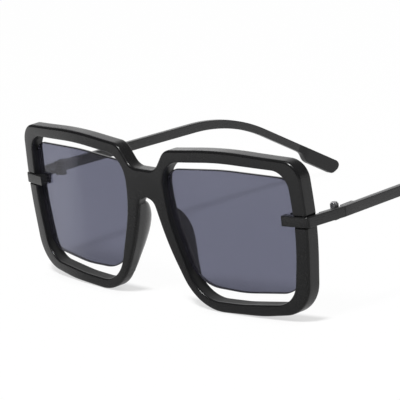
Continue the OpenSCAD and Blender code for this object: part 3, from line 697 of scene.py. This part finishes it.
def moulded_plastic(name, colour, rough, grain):
    """Moulded plastic: fine satin grain, slow changes of gloss and faint dust in broad patches. Where the attribute
    says the surface lies inside an opening, it's duller, and the paler dust is left out so that the opening's walls
    stay darker, which is painted shade."""
    f = Finish(name)
    inside = f.attribute("inside")
    fine, slow, dust = f.noise(5200, 2), f.noise(90, 3), f.noise(700, 5)
    patch = ((dust - 0.52) * 5).clipped(0, 1) * ((slow - 0.35) * 2).clipped(0, 1)
    # painted shade: inside an opening the paler dust is left out, which keeps the walls darker
    base = f.mix(patch * 0.5 * (1 - inside), colour, lighter(colour, 0.012))
    gloss = rough + slow.swing(0.16) + fine.swing(0.08) + patch * 0.05 + inside * 0.25
    normal = f.bump(fine * 0.7 + dust * 0.3, 0.12, grain)
    return f.finish(Base_Color=base, Roughness=gloss.clipped(0.05, 1), Normal=normal, IOR=1.46,
                    Specular_IOR_Level=0.42)


def polished_pads(colour):
    """Polished black pads: nearly smooth, with soft smears in the gloss."""
    f = Finish("polished_pad")
    smear, fine = f.noise(260, 4, (1, 1, 2.5)), f.noise(2600, 2)
    gloss = 0.16 + ((smear - 0.45) * 0.5).clipped(0, 0.14) + fine * 0.04
    return f.finish(Base_Color=f.mix(smear, colour, lighter(colour, 0.01)), Roughness=gloss,
                    Normal=f.bump(smear, 0.05, 0.0001), IOR=1.5, Coat_Weight=0.15, Coat_Roughness=0.12)


def black_coating(name, colour, rough):
    """Black coating on metal: a fine even orange peel, and a trace of brushing along the bar."""
    f = Finish(name)
    peel, brushed, slow = f.noise(3400, 3), f.noise(2600, 2, (1, 0.05, 1)), f.noise(140, 3)
    gloss = rough + slow.swing(0.12) + brushed.swing(0.12)
    base = f.mix((slow - 0.3).clipped(0, 1), colour, lighter(colour, 0.012))
    return f.finish(Base_Color=base, Roughness=gloss.clipped(0.05, 1),
                    Normal=f.bump(peel * 0.5 + brushed * 0.5, 0.1, 0.00002), IOR=1.5, Specular_IOR_Level=0.36)


def hinge_coating(colour):
    """Thin coating on the knuckles and leaves, a paler copy of the bars' coating that stands in for a highlight,
    with bright metal showing where noise passes a limit, as wear where parts rub that also brightens the hinges as
    painted highlight."""
    f = Finish("hinge_coating")
    wear, fine = f.noise(1500, 5), f.noise(5000, 2)
    # wear where parts rub, also raised to brighten the hinges as painted highlight
    wear_and_highlight = ((wear - 0.53) * 14).clipped(0, 1)
    # painted highlight: the coating is a paler copy of the bars' coating
    base = f.mix(wear_and_highlight, lighter(colour, 0.07), (0.4, 0.4, 0.41))
    return f.finish(Base_Color=base, Metallic=wear_and_highlight * 0.8 + 0.1, Roughness=0.34 + fine * 0.1,
                    Normal=f.bump(fine, 0.12, 0.00002), IOR=1.5)


def turned_steel(colour):
    """Bright screws: fine rings in the gloss, and darker stains."""
    f = Finish("turned_steel")
    fine, stain = f.noise(9000, 2, (1, 1, 0.1)), f.noise(900, 4)
    base = f.mix(((stain - 0.5) * 3).clipped(0, 1), colour, [c * 0.8 for c in colour])
    gloss = 0.2 + fine.swing(0.16) + stain * 0.06
    return f.finish(Base_Color=base, Metallic=1.0, Roughness=gloss.clipped(0.05, 1),
                    Normal=f.bump(fine, 0.08, 0.00001))


def tinted_lens(tone, density):
    """Tinted lens: on each face a dense share is dark and glossy, and the rest lets light through with the tint. The
    dense share grows a little towards the bottom, as painted shade that stands in for the floor's shadow seen
    through the lens, and round the edge it is nearly all of the face."""
    f = Finish("tinted_lens")
    height, = f.values("Z", "ShaderNodeSeparateXYZ", Vector=f.place)
    # painted shade: the dark share grows towards the bottom, standing in for the floor's shadow seen through the
    # lens
    dense = density + (0.03 - height) * 0.25 + f.noise(60, 3).swing(0.02)
    filled = dense + (0.96 - dense) * f.attribute("edge")
    gloss = f.node("ShaderNodeBsdfPrincipled", Base_Color=(0.02, 0.019, 0.024, 1), Roughness=0.04, IOR=1.5)
    clear = f.node("ShaderNodeBsdfTransparent", Color=(*tone, 1))
    return f.blend(filled.clipped(0, 1), clear, gloss)


def floor_paper(dimmed):
    """Pale floor: plain white mixed with paper that takes light and shadow. The camera sees more of the paper close
    under the front, whose curve it follows as a parabola as wide as both rims, and through a lens. Mirrors see the
    floor white too, but with painted shade in front and right of a slanting line, which darkens the reflections in
    the sunglasses."""
    f = Finish("floor_paper")
    seen, mirrored_in, passed = f.rays()
    x, y = f.values("XY", "ShaderNodeSeparateXYZ", Vector=f.place)
    y = y - FRONT_Y
    away = abs(y - x ** 2 * 1.15 - 0.003) + (abs(x) - 0.075).clipped(0, 1)
    plain = 0.62 + ((away - 0.004) * 120).clipped(0, 0.35)
    plain = plain + (0.5 - plain) * passed.clipped(0, 1)
    slant, front = ((x - y * 1.9 + 0.085) * 25).clipped(0, 1), ((0.02 - y) * 60).clipped(0, 1)
    # painted shade that only mirrors see, darkening the reflections in the front's faces
    dark = slant * front * (1.8 + y * 8).clipped(0.65, 1) * mirrored_in
    paper = f.node("ShaderNodeBsdfPrincipled", Base_Color=(0.97, 0.97, 0.97, 1), Roughness=0.9,
                   Specular_IOR_Level=0.0)
    white = f.node("ShaderNodeEmission", Color=f.mix(dark, (1, 1, 1), [dimmed] * 3))
    return f.blend((seen * plain + mirrored_in * (0.7 + dark * 0.25)).clipped(0, 1), paper, white)


# -------- pieces


def shifted(x, y, z):
    """Points of the front's own drawing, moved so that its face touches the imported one."""
    return np.stack(np.broadcast_arrays(x, np.asarray(y) + FRONT_Y, z), axis=-1)


# Share of a rim's reach beyond which a station lies on its temple side, and how many stations at either end
# of the ones replaced are used for reading between
TEMPLE_SIDE, SPARE = 0.8, 3


def level_stations(outline, hole, levels):
    """On the temple side, the stations between the highest and the lowest of some heights give way to level
    ones: at each height, the points of the outline and of the opening that lie there."""
    middle, half = (levels[-1] + levels[0]) / 2, (levels[0] - levels[-1]) / 2
    level_with = lambda line: np.abs(line[:, 1] - middle) < half
    side = (outline[:, 0] > hole[:, 0]) & (outline[:, 0] > outline[:, 0].max() * TEMPLE_SIDE)
    i = np.flatnonzero(side & (level_with(outline) | level_with(hole)))
    a, b = i.min(), i.max() + 1
    wide = slice(max(a - SPARE, 0), b + SPARE)
    at = lambda line: np.interp(levels, line[wide][::-1, 1], line[wide][::-1, 0])
    level = lambda line: np.column_stack([at(line), levels, np.zeros((len(levels), line.shape[1] - 2))])
    return [np.vstack([line[:a], level(line), line[b:]]) for line in (outline, hole)]


def evened(outline, hole, step):
    """Stations added along the longer gaps, so that none is longer than a step."""
    gaps = [np.linalg.norm((np.roll(line, -1, axis=0) - line)[:, :2], axis=1) for line in (outline, hole)]
    parts = np.maximum(np.ceil(np.maximum(*gaps) / step).astype(int), 1)
    place = np.concatenate([i + np.arange(n) / n for i, n in enumerate(parts)])
    known = np.arange(len(outline) + 1)
    return [np.stack([np.interp(place, known, np.append(column, column[0])) for column in line.T], axis=1)
            for line in (outline, hole)]


# The longest gap between two stations, and points along a section's roundings on the face and on the back
STATION_STEP, FACE_POINTS, BACK_POINTS = 0.0016, 9, 6
# The notch: how far beyond its wall its lips begin, how far the level stations reach, their numbers behind
# the strap, on a lip and beyond it, and the share of the front's width beyond which it is cut
LIP_START, NOTCH_REACH, NOTCH_ROWS, NOTCH_SIDE = 0.000015, 0.0026, (5, 8, 4), 0.4


def front_stations():
    """The stations of one rim, with level ones behind the strap and along the notch's lips."""
    half = sizes("temple").bar_h / 2 + NOTCH_GAP
    strap, lips, beyond = NOTCH_ROWS
    lip = half + quarter_round(sizes("front").lip_round, lips)[0]
    rise = np.concatenate([np.linspace(0, half, strap), lip + LIP_START,
                           np.linspace(lip[-1], half + NOTCH_REACH, beyond)[1:]])
    levels = sizes("temple").hinge_h + np.unique(np.concatenate([-rise, rise]))[::-1]
    return level_stations(*evened(*rim_lines(RIM_POINTS)[:2], STATION_STEP), levels)


def front_sections(bevel):
    """Insets and depths of the rounded section at each station, first from the opening's back edge to the
    face, then from the face over the outline's wall to the back. Beside the nose the outline's back rounding
    turns into a straight bevel as its share grows."""
    s = sizes("front")
    even = np.linspace(0, 1, BACK_POINTS)
    wall = even[1:-1]
    rows = lambda values: np.repeat(values[None], len(bevel), axis=0)
    face_in, face_d = quarter_round(s.face_round, FACE_POINTS)
    outer_in, outer_d = quarter_round(s.outer_round, FACE_POINTS)
    back_in, back_d = quarter_round(s.back_round, BACK_POINTS)
    back_d = s.depth - back_d
    hole_wall = s.face_round + (s.depth - s.back_round - s.face_round) * wall
    edge = s.back_round + (s.nose_bevel - s.back_round) * bevel
    nose_in = back_in * (1 - bevel) + edge * even * bevel
    nose_d = back_d * (1 - bevel) + (s.depth - edge * (1 - even)) * bevel
    insets = [rows(np.concatenate([back_in[::-1], 0 * wall, face_in, outer_in[::-1], 0 * wall])), nose_in]
    depths = [rows(np.concatenate([back_d[::-1], hole_wall[::-1], face_d, outer_d[::-1]])),
              s.outer_round + (s.depth - edge - s.outer_round) * wall, nose_d]
    return np.hstack(insets), np.hstack(depths)


def notched(x, y, z):
    """The front with the notch for the end piece: what lies in front of the strap's back or outside the leg's
    inner face moves onto them. At a height the whole way is gone behind the strap, and above and below it a
    share that rounds off as a quarter circle."""
    s, t, plan = sizes("front"), sizes("temple"), EndPiecePlan()
    away = np.abs(z - t.hinge_h) - (t.bar_h / 2 + NOTCH_GAP)
    lip = np.clip(1 - away / s.lip_round, 0, 1)
    share = np.where(away <= TINY, 1.0, s.lip_round / plan.under * (1 - np.sqrt(1 - lip * lip)))
    share = share * (x > s.width * NOTCH_SIDE)
    local = turned(np.stack([x, y], axis=-1) - plan.origin, -plan.turn)
    local[..., 1] = np.maximum(local[..., 1], plan.under + NOTCH_GAP)
    cut = plan.origin + turned(local, plan.turn)
    out = (cut - plan.leg_in) @ plan.leg_normal + NOTCH_GAP
    cut = cut - np.maximum(out, 0)[..., None] * plan.leg_normal
    return x + share * (cut[..., 0] - x), y + share * (cut[..., 1] - y)


def front_mesh():
    """The front as a loft: a rounded section carried round each rim's stations and notched for the end piece.
    Both halves share their points on the plane X = 0, where the outline's wall is left out across the
    bridge, and the points that no face uses go."""
    outline, hole = front_stations()
    bevel, outline = outline[:, 2:], outline[:, :2]
    outer_in, hole_in = inward(outline), -inward(hole)
    centre = np.abs(outline[:, 0]) < TINY
    top, *_, bottom = np.flatnonzero(centre)
    outer_in[centre] = 0
    outer_in[top], outer_in[bottom] = (0, 1), (0, -1)
    inset, depth = front_sections(bevel)
    rows, columns = inset.shape
    half = columns // 2
    inner = hole[:, None] + hole_in[:, None] * inset[:, :half, None]
    outside = outline[:, None] + outer_in[:, None] * inset[:, half:, None]
    x, z = np.moveaxis(np.concatenate([inner, outside], axis=1), 2, 0)
    x, y = notched(x, wrap(x) + depth, z)
    points = shifted(x, y, z).reshape(-1, 3)
    quads, i, j = grid_quads(rows, columns, rows)
    hidden = centre[i] & centre[(i + 1) % rows] & (j >= half) & (j < columns - 1)
    quads = quads[~hidden]
    place = np.arange(len(points))
    mirror = np.where(np.abs(points[:, 0]) < TINY, place, place + len(points))
    used, corners = np.unique(np.concatenate([quads, mirror[quads[:, ::-1]]]), return_inverse=True)
    both = np.concatenate([points, points * (-1, 1, 1)])[used]
    obj = put_mesh("front_moulding", both, [corners.reshape(-1, 4)])
    inside = np.tile(np.arange(columns) < half - FACE_POINTS, 2 * rows)[used]
    point_attribute(obj, "inside", inside)
    return shade(obj, crisp=40)


# A lens: points along its rounded edge, the step from there to its face, and the rings of its face with the
# share of its size that the smallest keeps
EDGE_POINTS, EDGE_STEP, LENS_RINGS, LENS_MIDDLE = 4, 0.00015, 14, 0.06


def lens_mesh(name):
    """A lens: its outline drawn in towards the middle in rings, with a rounded edge, and set on two upright
    cylinders about one axis, a thickness apart."""
    l = sizes("lens")
    outline, axis = lens_lines(LENS_POINTS)
    outline = clockwise(outline)
    normals, middle = inward(outline), outline.mean(axis=0)
    face = outline + normals * (l.edge + EDGE_STEP)
    inside = [(middle + (face - middle) * k, 0) for k in np.linspace(LENS_MIDDLE, 1, LENS_RINGS)]
    edge = [(outline + normals * inset, depth) for inset, depth in zip(*quarter_round(l.edge, EDGE_POINTS))]
    front = inside + edge[::-1]
    rings = front + [(p, l.thickness - depth) for p, depth in front[::-1]]
    across = lambda p, depth: axis[1] - np.sqrt((l.radius - depth) ** 2 - (p[:, 0] - axis[0]) ** 2)
    points = np.concatenate([shifted(p[:, 0], across(p, depth), p[:, 1]) for p, depth in rings])
    obj = put_mesh(name, points, tube_faces(len(rings), len(outline)))
    on_edge = np.repeat([0, 1, 0], [len(inside), 2 * EDGE_POINTS, len(inside)])
    point_attribute(obj, "edge", np.repeat(on_edge, len(outline)))
    return shade(obj, crisp=50)


PAD_ROWS = 72
PAD_ENDS = 0.03  # share of a pad's height left off at either end
PAD_SKEW = 1.8  # moves the ridge's highest place towards the top
PAD_FULL = 0.7  # below 1 the ridge is fuller than a sine
PAD_LEAST = 0.002  # least rise, so that the ends keep a width
PAD_SLIM = 0.45  # how the width follows the rise
PAD_START = 0.0003  # how far beyond its foot's middle the ridge starts
PAD_ROUND, PAD_LIP, PAD_SIDE = 33, 7, 5  # points over the ridge, round the lip and down the side


def pad_mesh(name):
    """A nose pad in level rings. Along the pad the ridge rises as a power of the sine, skewed towards the
    top, and leans away from the nose as it rises. Two quarter ellipses run from the ridge to the foot's far
    side and to the rim's side, where the skin goes forward to the face's edge and ends in a thin lip."""
    s = sizes("front")
    outline, _, _, _, arch = rim_lines(PLACE_POINTS)
    nose = outline[NOSE_CORNER * PLACE_POINTS + PLACE_POINTS // 2:LAST_CORNER * PLACE_POINTS]
    t = ((1 - np.cos(np.pi * np.linspace(PAD_ENDS, 1 - PAD_ENDS, PAD_ROWS))) / 2)[:, None]
    rise = np.maximum(np.sin(np.pi * t ** PAD_SKEW) ** PAD_FULL, PAD_LEAST)
    skin = rise ** PAD_SLIM * s.pad_skin
    z = arch - s.pad_drop - s.pad_height * (1 - t)
    side = np.interp(z, nose[:, 1], nose[:, 0])
    bevel = s.back_round + (s.nose_bevel - s.back_round) * np.interp(z, nose[:, 1], nose[:, 2])
    back, wall = s.depth + PAD_GAP, s.depth - bevel
    lean = PAD_START + s.pad_foot / 2
    ridge_x, ridge_y = side + lean + rise * (s.pad_flare - lean), back + rise * s.pad_reach
    foot_x, flank_x = side + lean + rise ** PAD_SLIM * s.pad_foot / 2, side - PAD_GAP - skin
    a = np.radians(np.linspace(0, 180, PAD_ROUND))[None]
    far = a < math.pi / 2
    end_x, end_y = np.where(far, foot_x, flank_x), np.where(far, back, wall)
    x = end_x + (ridge_x - end_x) * (1 - np.abs(np.cos(a)))
    y = end_y + (ridge_y - end_y) * np.sin(a)
    lip = s.outer_round + 2 * s.pad_skin
    q = np.radians(np.linspace(0, 90, PAD_LIP))[None]
    straight = np.linspace(0, 1, PAD_SIDE)[None, 1:-1]
    lip_y = lip - (lip - s.outer_round) * np.sin(q) + 0 * side
    x = np.hstack([x, flank_x + 0 * straight, side - PAD_GAP - skin * np.cos(q), side - PAD_GAP, side + bevel])
    y = np.hstack([y, wall + (lip - wall) * straight, lip_y, wall, back + 0 * side])
    points = shifted(x, wrap(x) + y, z).reshape(-1, 3)
    return shade(put_mesh(name, points, tube_faces(*x.shape)), crisp=50)


def end_piece_mesh(name):
    """An end piece: its plan from the strap's start round the bend to the joint, and back to the block on
    the lens, stood up to the bar's height with rounded edges."""
    t, p = sizes("temple"), EndPiecePlan()
    start, block = p.strap(p.start, -t.strap_proud), p.strap(p.end, p.under)
    inner_bend = max(t.strap_bend - t.strap_t, t.strap_proud)
    on_lens = sizes("lens").radius + LENS_GAP
    plan = np.vstack([
        start,
        between(start, p.strap_out, 3)[:2],  # none close to the bend
        corner_arc(start, p.strap_out, p.leg_out, t.strap_bend, OUTER_BEND),
        p.leg_out,
        p.leg_in,
        corner_arc(p.leg_in, p.strap_in, block, inner_bend, INNER_BEND),
        block,
        p.on_lens(p.end, on_lens),
        p.on_lens(p.start, on_lens),
    ])
    low = t.hinge_h - t.bar_h / 2
    place = lambda q, height: shifted(q[:, 0], q[:, 1], low + height)
    return shade(plate(name, plan, round_profile(t.bar_h, t.bar_round), place), crisp=30)


def in_temple(side_view, across):
    """Points of a side view, stood up across the temple: outwards from the bar's inner face, turned by the
    splay about the hinge axis."""
    p = EndPiecePlan()
    plan = np.stack(np.broadcast_arrays(p.bar_in + across, side_view[:, 0]), axis=-1)
    return shifted(*(p.hinge + turned(plan, p.splay)).T, side_view[:, 1])


def arm_mesh(name):
    """A temple's bar: its side view across the bar's thickness, with rounded edges."""
    t = sizes("temple")
    profile = round_profile(t.bar_t, t.bar_round)
    return shade(plate(name, arm_outline(ARM_POINTS), profile, in_temple, butt=True), crisp=30)


TIP_ROWS, TIP_CORNER = 110, 8  # along a tip, and points on each corner of its section
TIP_STOP = 0.02  # angle left off at the end, so that the last row keeps a width


def tip_mesh(name):
    """A tip as rounded rectangles carried along its length. Their tops and bottoms follow the side view. The
    thickness and the corner radius grow from the bar's to the tip's own along the neck as the smooth step
    3u^2 - 2u^3, and near the end the thickness falls away as a quarter circle."""
    t = sizes("temple")
    outline, arm_end, down, up = tip_lines(TIP_POINTS)
    start = arm_end + up * t.bar_end_h / 2
    along, rise = (outline - start) @ down, (outline - start) @ up
    last = int(np.argmax(along))
    s = along[last] * np.sin(np.linspace(0, math.pi / 2 - TIP_STOP, TIP_ROWS))
    top = np.interp(s, along[:last + 1], rise[:last + 1])
    bottom = np.interp(s, along[last:][::-1], rise[last:][::-1])
    u = np.clip(s / (t.tip_collar + t.tip_step), 0, 1)
    grown = u * u * (3 - 2 * u)
    left = np.maximum(t.tip_round - (along[last] - s), 0)
    half_t = (t.bar_t + (t.tip_t - t.bar_t) * grown) / 2 - (t.tip_round - np.sqrt(t.tip_round ** 2 - left ** 2))
    half_h = (top - bottom) / 2
    corner = np.minimum(np.minimum(t.bar_round + (t.tip_round - t.bar_round) * grown, half_t), half_h)[:, None]
    q = np.radians(np.linspace(0, 90, TIP_CORNER) + np.array([[0], [90], [180], [270]])).ravel()
    side = np.repeat([[1, 1], [-1, 1], [-1, -1], [1, -1]], TIP_CORNER, axis=0)
    across = side[:, 0] * (half_t[:, None] - corner) + corner * np.cos(q)
    height = side[:, 1] * (half_h[:, None] - corner) + corner * np.sin(q) + ((top + bottom) / 2)[:, None]
    view = start + s[:, None, None] * down + height[..., None] * up
    points = in_temple(view.reshape(-1, 2), t.bar_t / 2 + across.ravel())
    return shade(put_mesh(name, points, tube_faces(*across.shape)), crisp=40)


# -------- operators


CLAMP_BEVEL, FINE_BEVEL = 0.00012, 0.00008  # widths of the bevels on the clamps, and on hinges and screws


class SUNGLASSES_OT_front(bpy.types.Operator):
    """Builds the moulded front with both rims, the bridge and the notches for the end pieces"""

    bl_idname = "sunglasses.front"
    bl_label = "Build front"

    def execute(self, context):
        c = sizes("finish")
        plastic = moulded_plastic("satin_front", c.front, c.front_rough, grain=0.000028)
        dress(front_mesh(), plastic, "front", "front_plastic", "front_frame")
        return {"FINISHED"}


class SUNGLASSES_OT_lenses(bpy.types.Operator):
    """Builds both tinted lenses"""

    bl_idname = "sunglasses.lenses"
    bl_label = "Build lenses"

    def execute(self, context):
        c = sizes("finish")
        pair(lens_mesh, "tinted_lens", tinted_lens(c.lens, c.lens_dense), "front", "tinted_lens", "lens")
        return {"FINISHED"}


class SUNGLASSES_OT_pads(bpy.types.Operator):
    """Builds both nose pads"""

    bl_idname = "sunglasses.pads"
    bl_label = "Build nose pads"

    def execute(self, context):
        pair(pad_mesh, "pad", polished_pads(sizes("finish").pads), "front", "pad_plastic", "nose_pad")
        return {"FINISHED"}


class SUNGLASSES_OT_end_pieces(bpy.types.Operator):
    """Builds both end pieces and the clamps behind the lenses"""

    bl_idname = "sunglasses.end_pieces"
    bl_label = "Build end pieces"

    def execute(self, context):
        c = sizes("finish")
        coating = black_coating("bar_coating", c.coating, c.bar_rough)
        pair(end_piece_mesh, "end_piece_bar", coating, "front", "black_metal", "end_piece")
        softened_pair({"lens_clamp": "front"}, CLAMP_BEVEL, coating, "black_metal")
        return {"FINISHED"}


class SUNGLASSES_OT_hinges(bpy.types.Operator):
    """Builds the hinges' leaves and knuckles with softened edges"""

    bl_idname = "sunglasses.hinges"
    bl_label = "Build hinges"

    def execute(self, context):
        coating = hinge_coating(sizes("finish").coating)
        softened_pair({"front_leaf": "front", "temple_leaf": "{}_temple"}, FINE_BEVEL, coating, "hinge_metal")
        return {"FINISHED"}


class SUNGLASSES_OT_screws(bpy.types.Operator):
    """Builds the hinge, clamp and rim screws with softened edges"""

    bl_idname = "sunglasses.screws"
    bl_label = "Build screws"

    def execute(self, context):
        steel = turned_steel(sizes("finish").steel)
        for node in ("hinge_screw", "clamp_screw", "rim_screw"):
            softened_pair({node: "front"}, FINE_BEVEL, steel, "screw_steel")
        return {"FINISHED"}


class SUNGLASSES_OT_temples(bpy.types.Operator):
    """Builds the bars of both temples"""

    bl_idname = "sunglasses.temples"
    bl_label = "Build temples"

    def execute(self, context):
        c = sizes("finish")
        coating = black_coating("temple_coating", c.arms, c.bar_rough)
        pair(arm_mesh, "temple_bar", coating, "{}_temple", "black_metal", "temple_arm")
        return {"FINISHED"}


class SUNGLASSES_OT_tips(bpy.types.Operator):
    """Builds both tips"""

    bl_idname = "sunglasses.tips"
    bl_label = "Build tips"

    def execute(self, context):
        sleeve = moulded_plastic("tip_sleeve", sizes("finish").tips, rough=0.4, grain=0.00003)
        pair(tip_mesh, "tip", sleeve, "{}_temple", "tip_plastic", "temple_tip")
        return {"FINISHED"}


# Half the floor's side, the place that the lamps face, and how far the camera sees
FLOOR_HALF, LIT, VIEW_END = 6.0, (0, 0, 0.03), 20
# The camera's sensor in millimetres, its place from the middle of the front's face, and its picture's shift
SENSOR, CAMERA_PLACE, CAMERA_SHIFT = 36, (0.7270, -0.5839, 0.2750), (-0.0033, 0.0003)


def lamp(name, place, size, power):
    """A square soft lamp at a place, turned to the sunglasses."""
    data = bpy.data.lights.new(name, "AREA")
    data.energy, data.size = power, size
    obj = put(name, data)
    obj.location = place
    obj.rotation_euler = (Vector(LIT) - Vector(place)).to_track_quat("-Z", "Y").to_euler()


def studio(plain):
    """The world: white where it is seen, plain light of a strength all round, and in mirrors brighter behind
    the sunglasses than in front and darker overhead."""
    world = bpy.data.worlds.new("studio")
    world.use_nodes = True
    w = Nodes(world.node_tree)
    seen, mirrored_in, _ = w.rays()
    y, z = w.values("YZ", "ShaderNodeSeparateXYZ", Vector=w.node("ShaderNodeTexCoord").outputs["Generated"])
    behind = ((y + 0.05) * 1.9).clipped(0.04, 1) * (1.15 - z * 3.3).clipped(0.17, 0.75)
    strength = seen + (1 - seen) * (mirrored_in * behind + (1 - mirrored_in) * plain)
    background = w.node("ShaderNodeBackground", Color=(1, 1, 1, 1), Strength=strength)
    w.node("ShaderNodeOutputWorld", Surface=background.outputs[0])
    return world


def camera_place(azimuth, elevation, roll):
    """Where the camera stands: rolled about its view, tipped up to its elevation, and turned to its azimuth."""
    turn = Matrix.Rotation
    place = Matrix.Translation(Vector(CAMERA_PLACE) + Vector((0, FRONT_Y, 0)))
    return place @ turn(azimuth, 4, "Z") @ turn(math.pi / 2 - elevation, 4, "X") @ turn(roll, 4, "Z")


class SUNGLASSES_OT_stage(bpy.types.Operator):
    """Builds the pale floor, the soft lamps, the world and the camera"""

    bl_idname = "sunglasses.stage"
    bl_label = "Build stage"

    def execute(self, context):
        g, scene = sizes("stage"), context.scene
        corners = np.array([[-1, -1, 0], [1, -1, 0], [1, 1, 0], [-1, 1, 0]]) * FLOOR_HALF
        floor = put_mesh("floor", corners, [np.arange(4)[None]])
        floor.data.materials.append(floor_paper(g.front_shade))
        lamp("key", (0.15, -0.45, 0.9), size=0.2, power=g.key)
        lamp("fill", (-0.55, 0.75, 0.5), size=0.8, power=g.fill)
        scene.world = studio(g.world)
        data = bpy.data.cameras.new("camera")
        data.sensor_width, data.lens, data.clip_end = SENSOR, g.focal, VIEW_END
        data.shift_x, data.shift_y = CAMERA_SHIFT
        scene.camera = put("camera", data)
        scene.camera.matrix_world = camera_place(g.azimuth, g.elevation, g.roll)
        scene.view_settings.view_transform = "Standard"
        return {"FINISHED"}


class SUNGLASSES_PT_panel(bpy.types.Panel):
    """Lists the sizes, the finishes and the operators"""

    bl_idname = "SUNGLASSES_PT_panel"
    bl_label = "Sunglasses"
    bl_space_type = "VIEW_3D"
    bl_region_type = "UI"
    bl_category = "Sunglasses"

    def draw(self, context):
        for operator in OPERATORS:
            self.layout.operator(operator.bl_idname)
        for name in GROUPS:
            group = getattr(context.scene, name)
            box = self.layout.box()
            for key in group.__annotations__:
                box.prop(group, key)


OPERATORS = (
    SUNGLASSES_OT_front,
    SUNGLASSES_OT_lenses,
    SUNGLASSES_OT_pads,
    SUNGLASSES_OT_end_pieces,
    SUNGLASSES_OT_hinges,
    SUNGLASSES_OT_screws,
    SUNGLASSES_OT_temples,
    SUNGLASSES_OT_tips,
    SUNGLASSES_OT_stage,
)
GROUPS = {
    "sunglasses_front": FrontSizes,
    "sunglasses_lens": LensSizes,
    "sunglasses_temple": TempleSizes,
    "sunglasses_finish": Finishes,
    "sunglasses_stage": StageSettings,
}


def register():
    """Registers the property groups, the operators and the panel."""
    for name, group in GROUPS.items():
        bpy.utils.register_class(group)
        setattr(bpy.types.Scene, name, PointerProperty(type=group))
    for cls in (*OPERATORS, SUNGLASSES_PT_panel):
        bpy.utils.register_class(cls)


def unregister():
    """Takes them out again."""
    for cls in (SUNGLASSES_PT_panel, *reversed(OPERATORS)):
        bpy.utils.unregister_class(cls)
    for name, group in reversed(GROUPS.items()):
        delattr(bpy.types.Scene, name)
        bpy.utils.unregister_class(group)


def main():
    """Registers everything and builds it in order."""
    register()
    for operator in OPERATORS:
        group, name = operator.bl_idname.split(".")
        getattr(getattr(bpy.ops, group), name)()


if __name__ == "__main__":
    main()
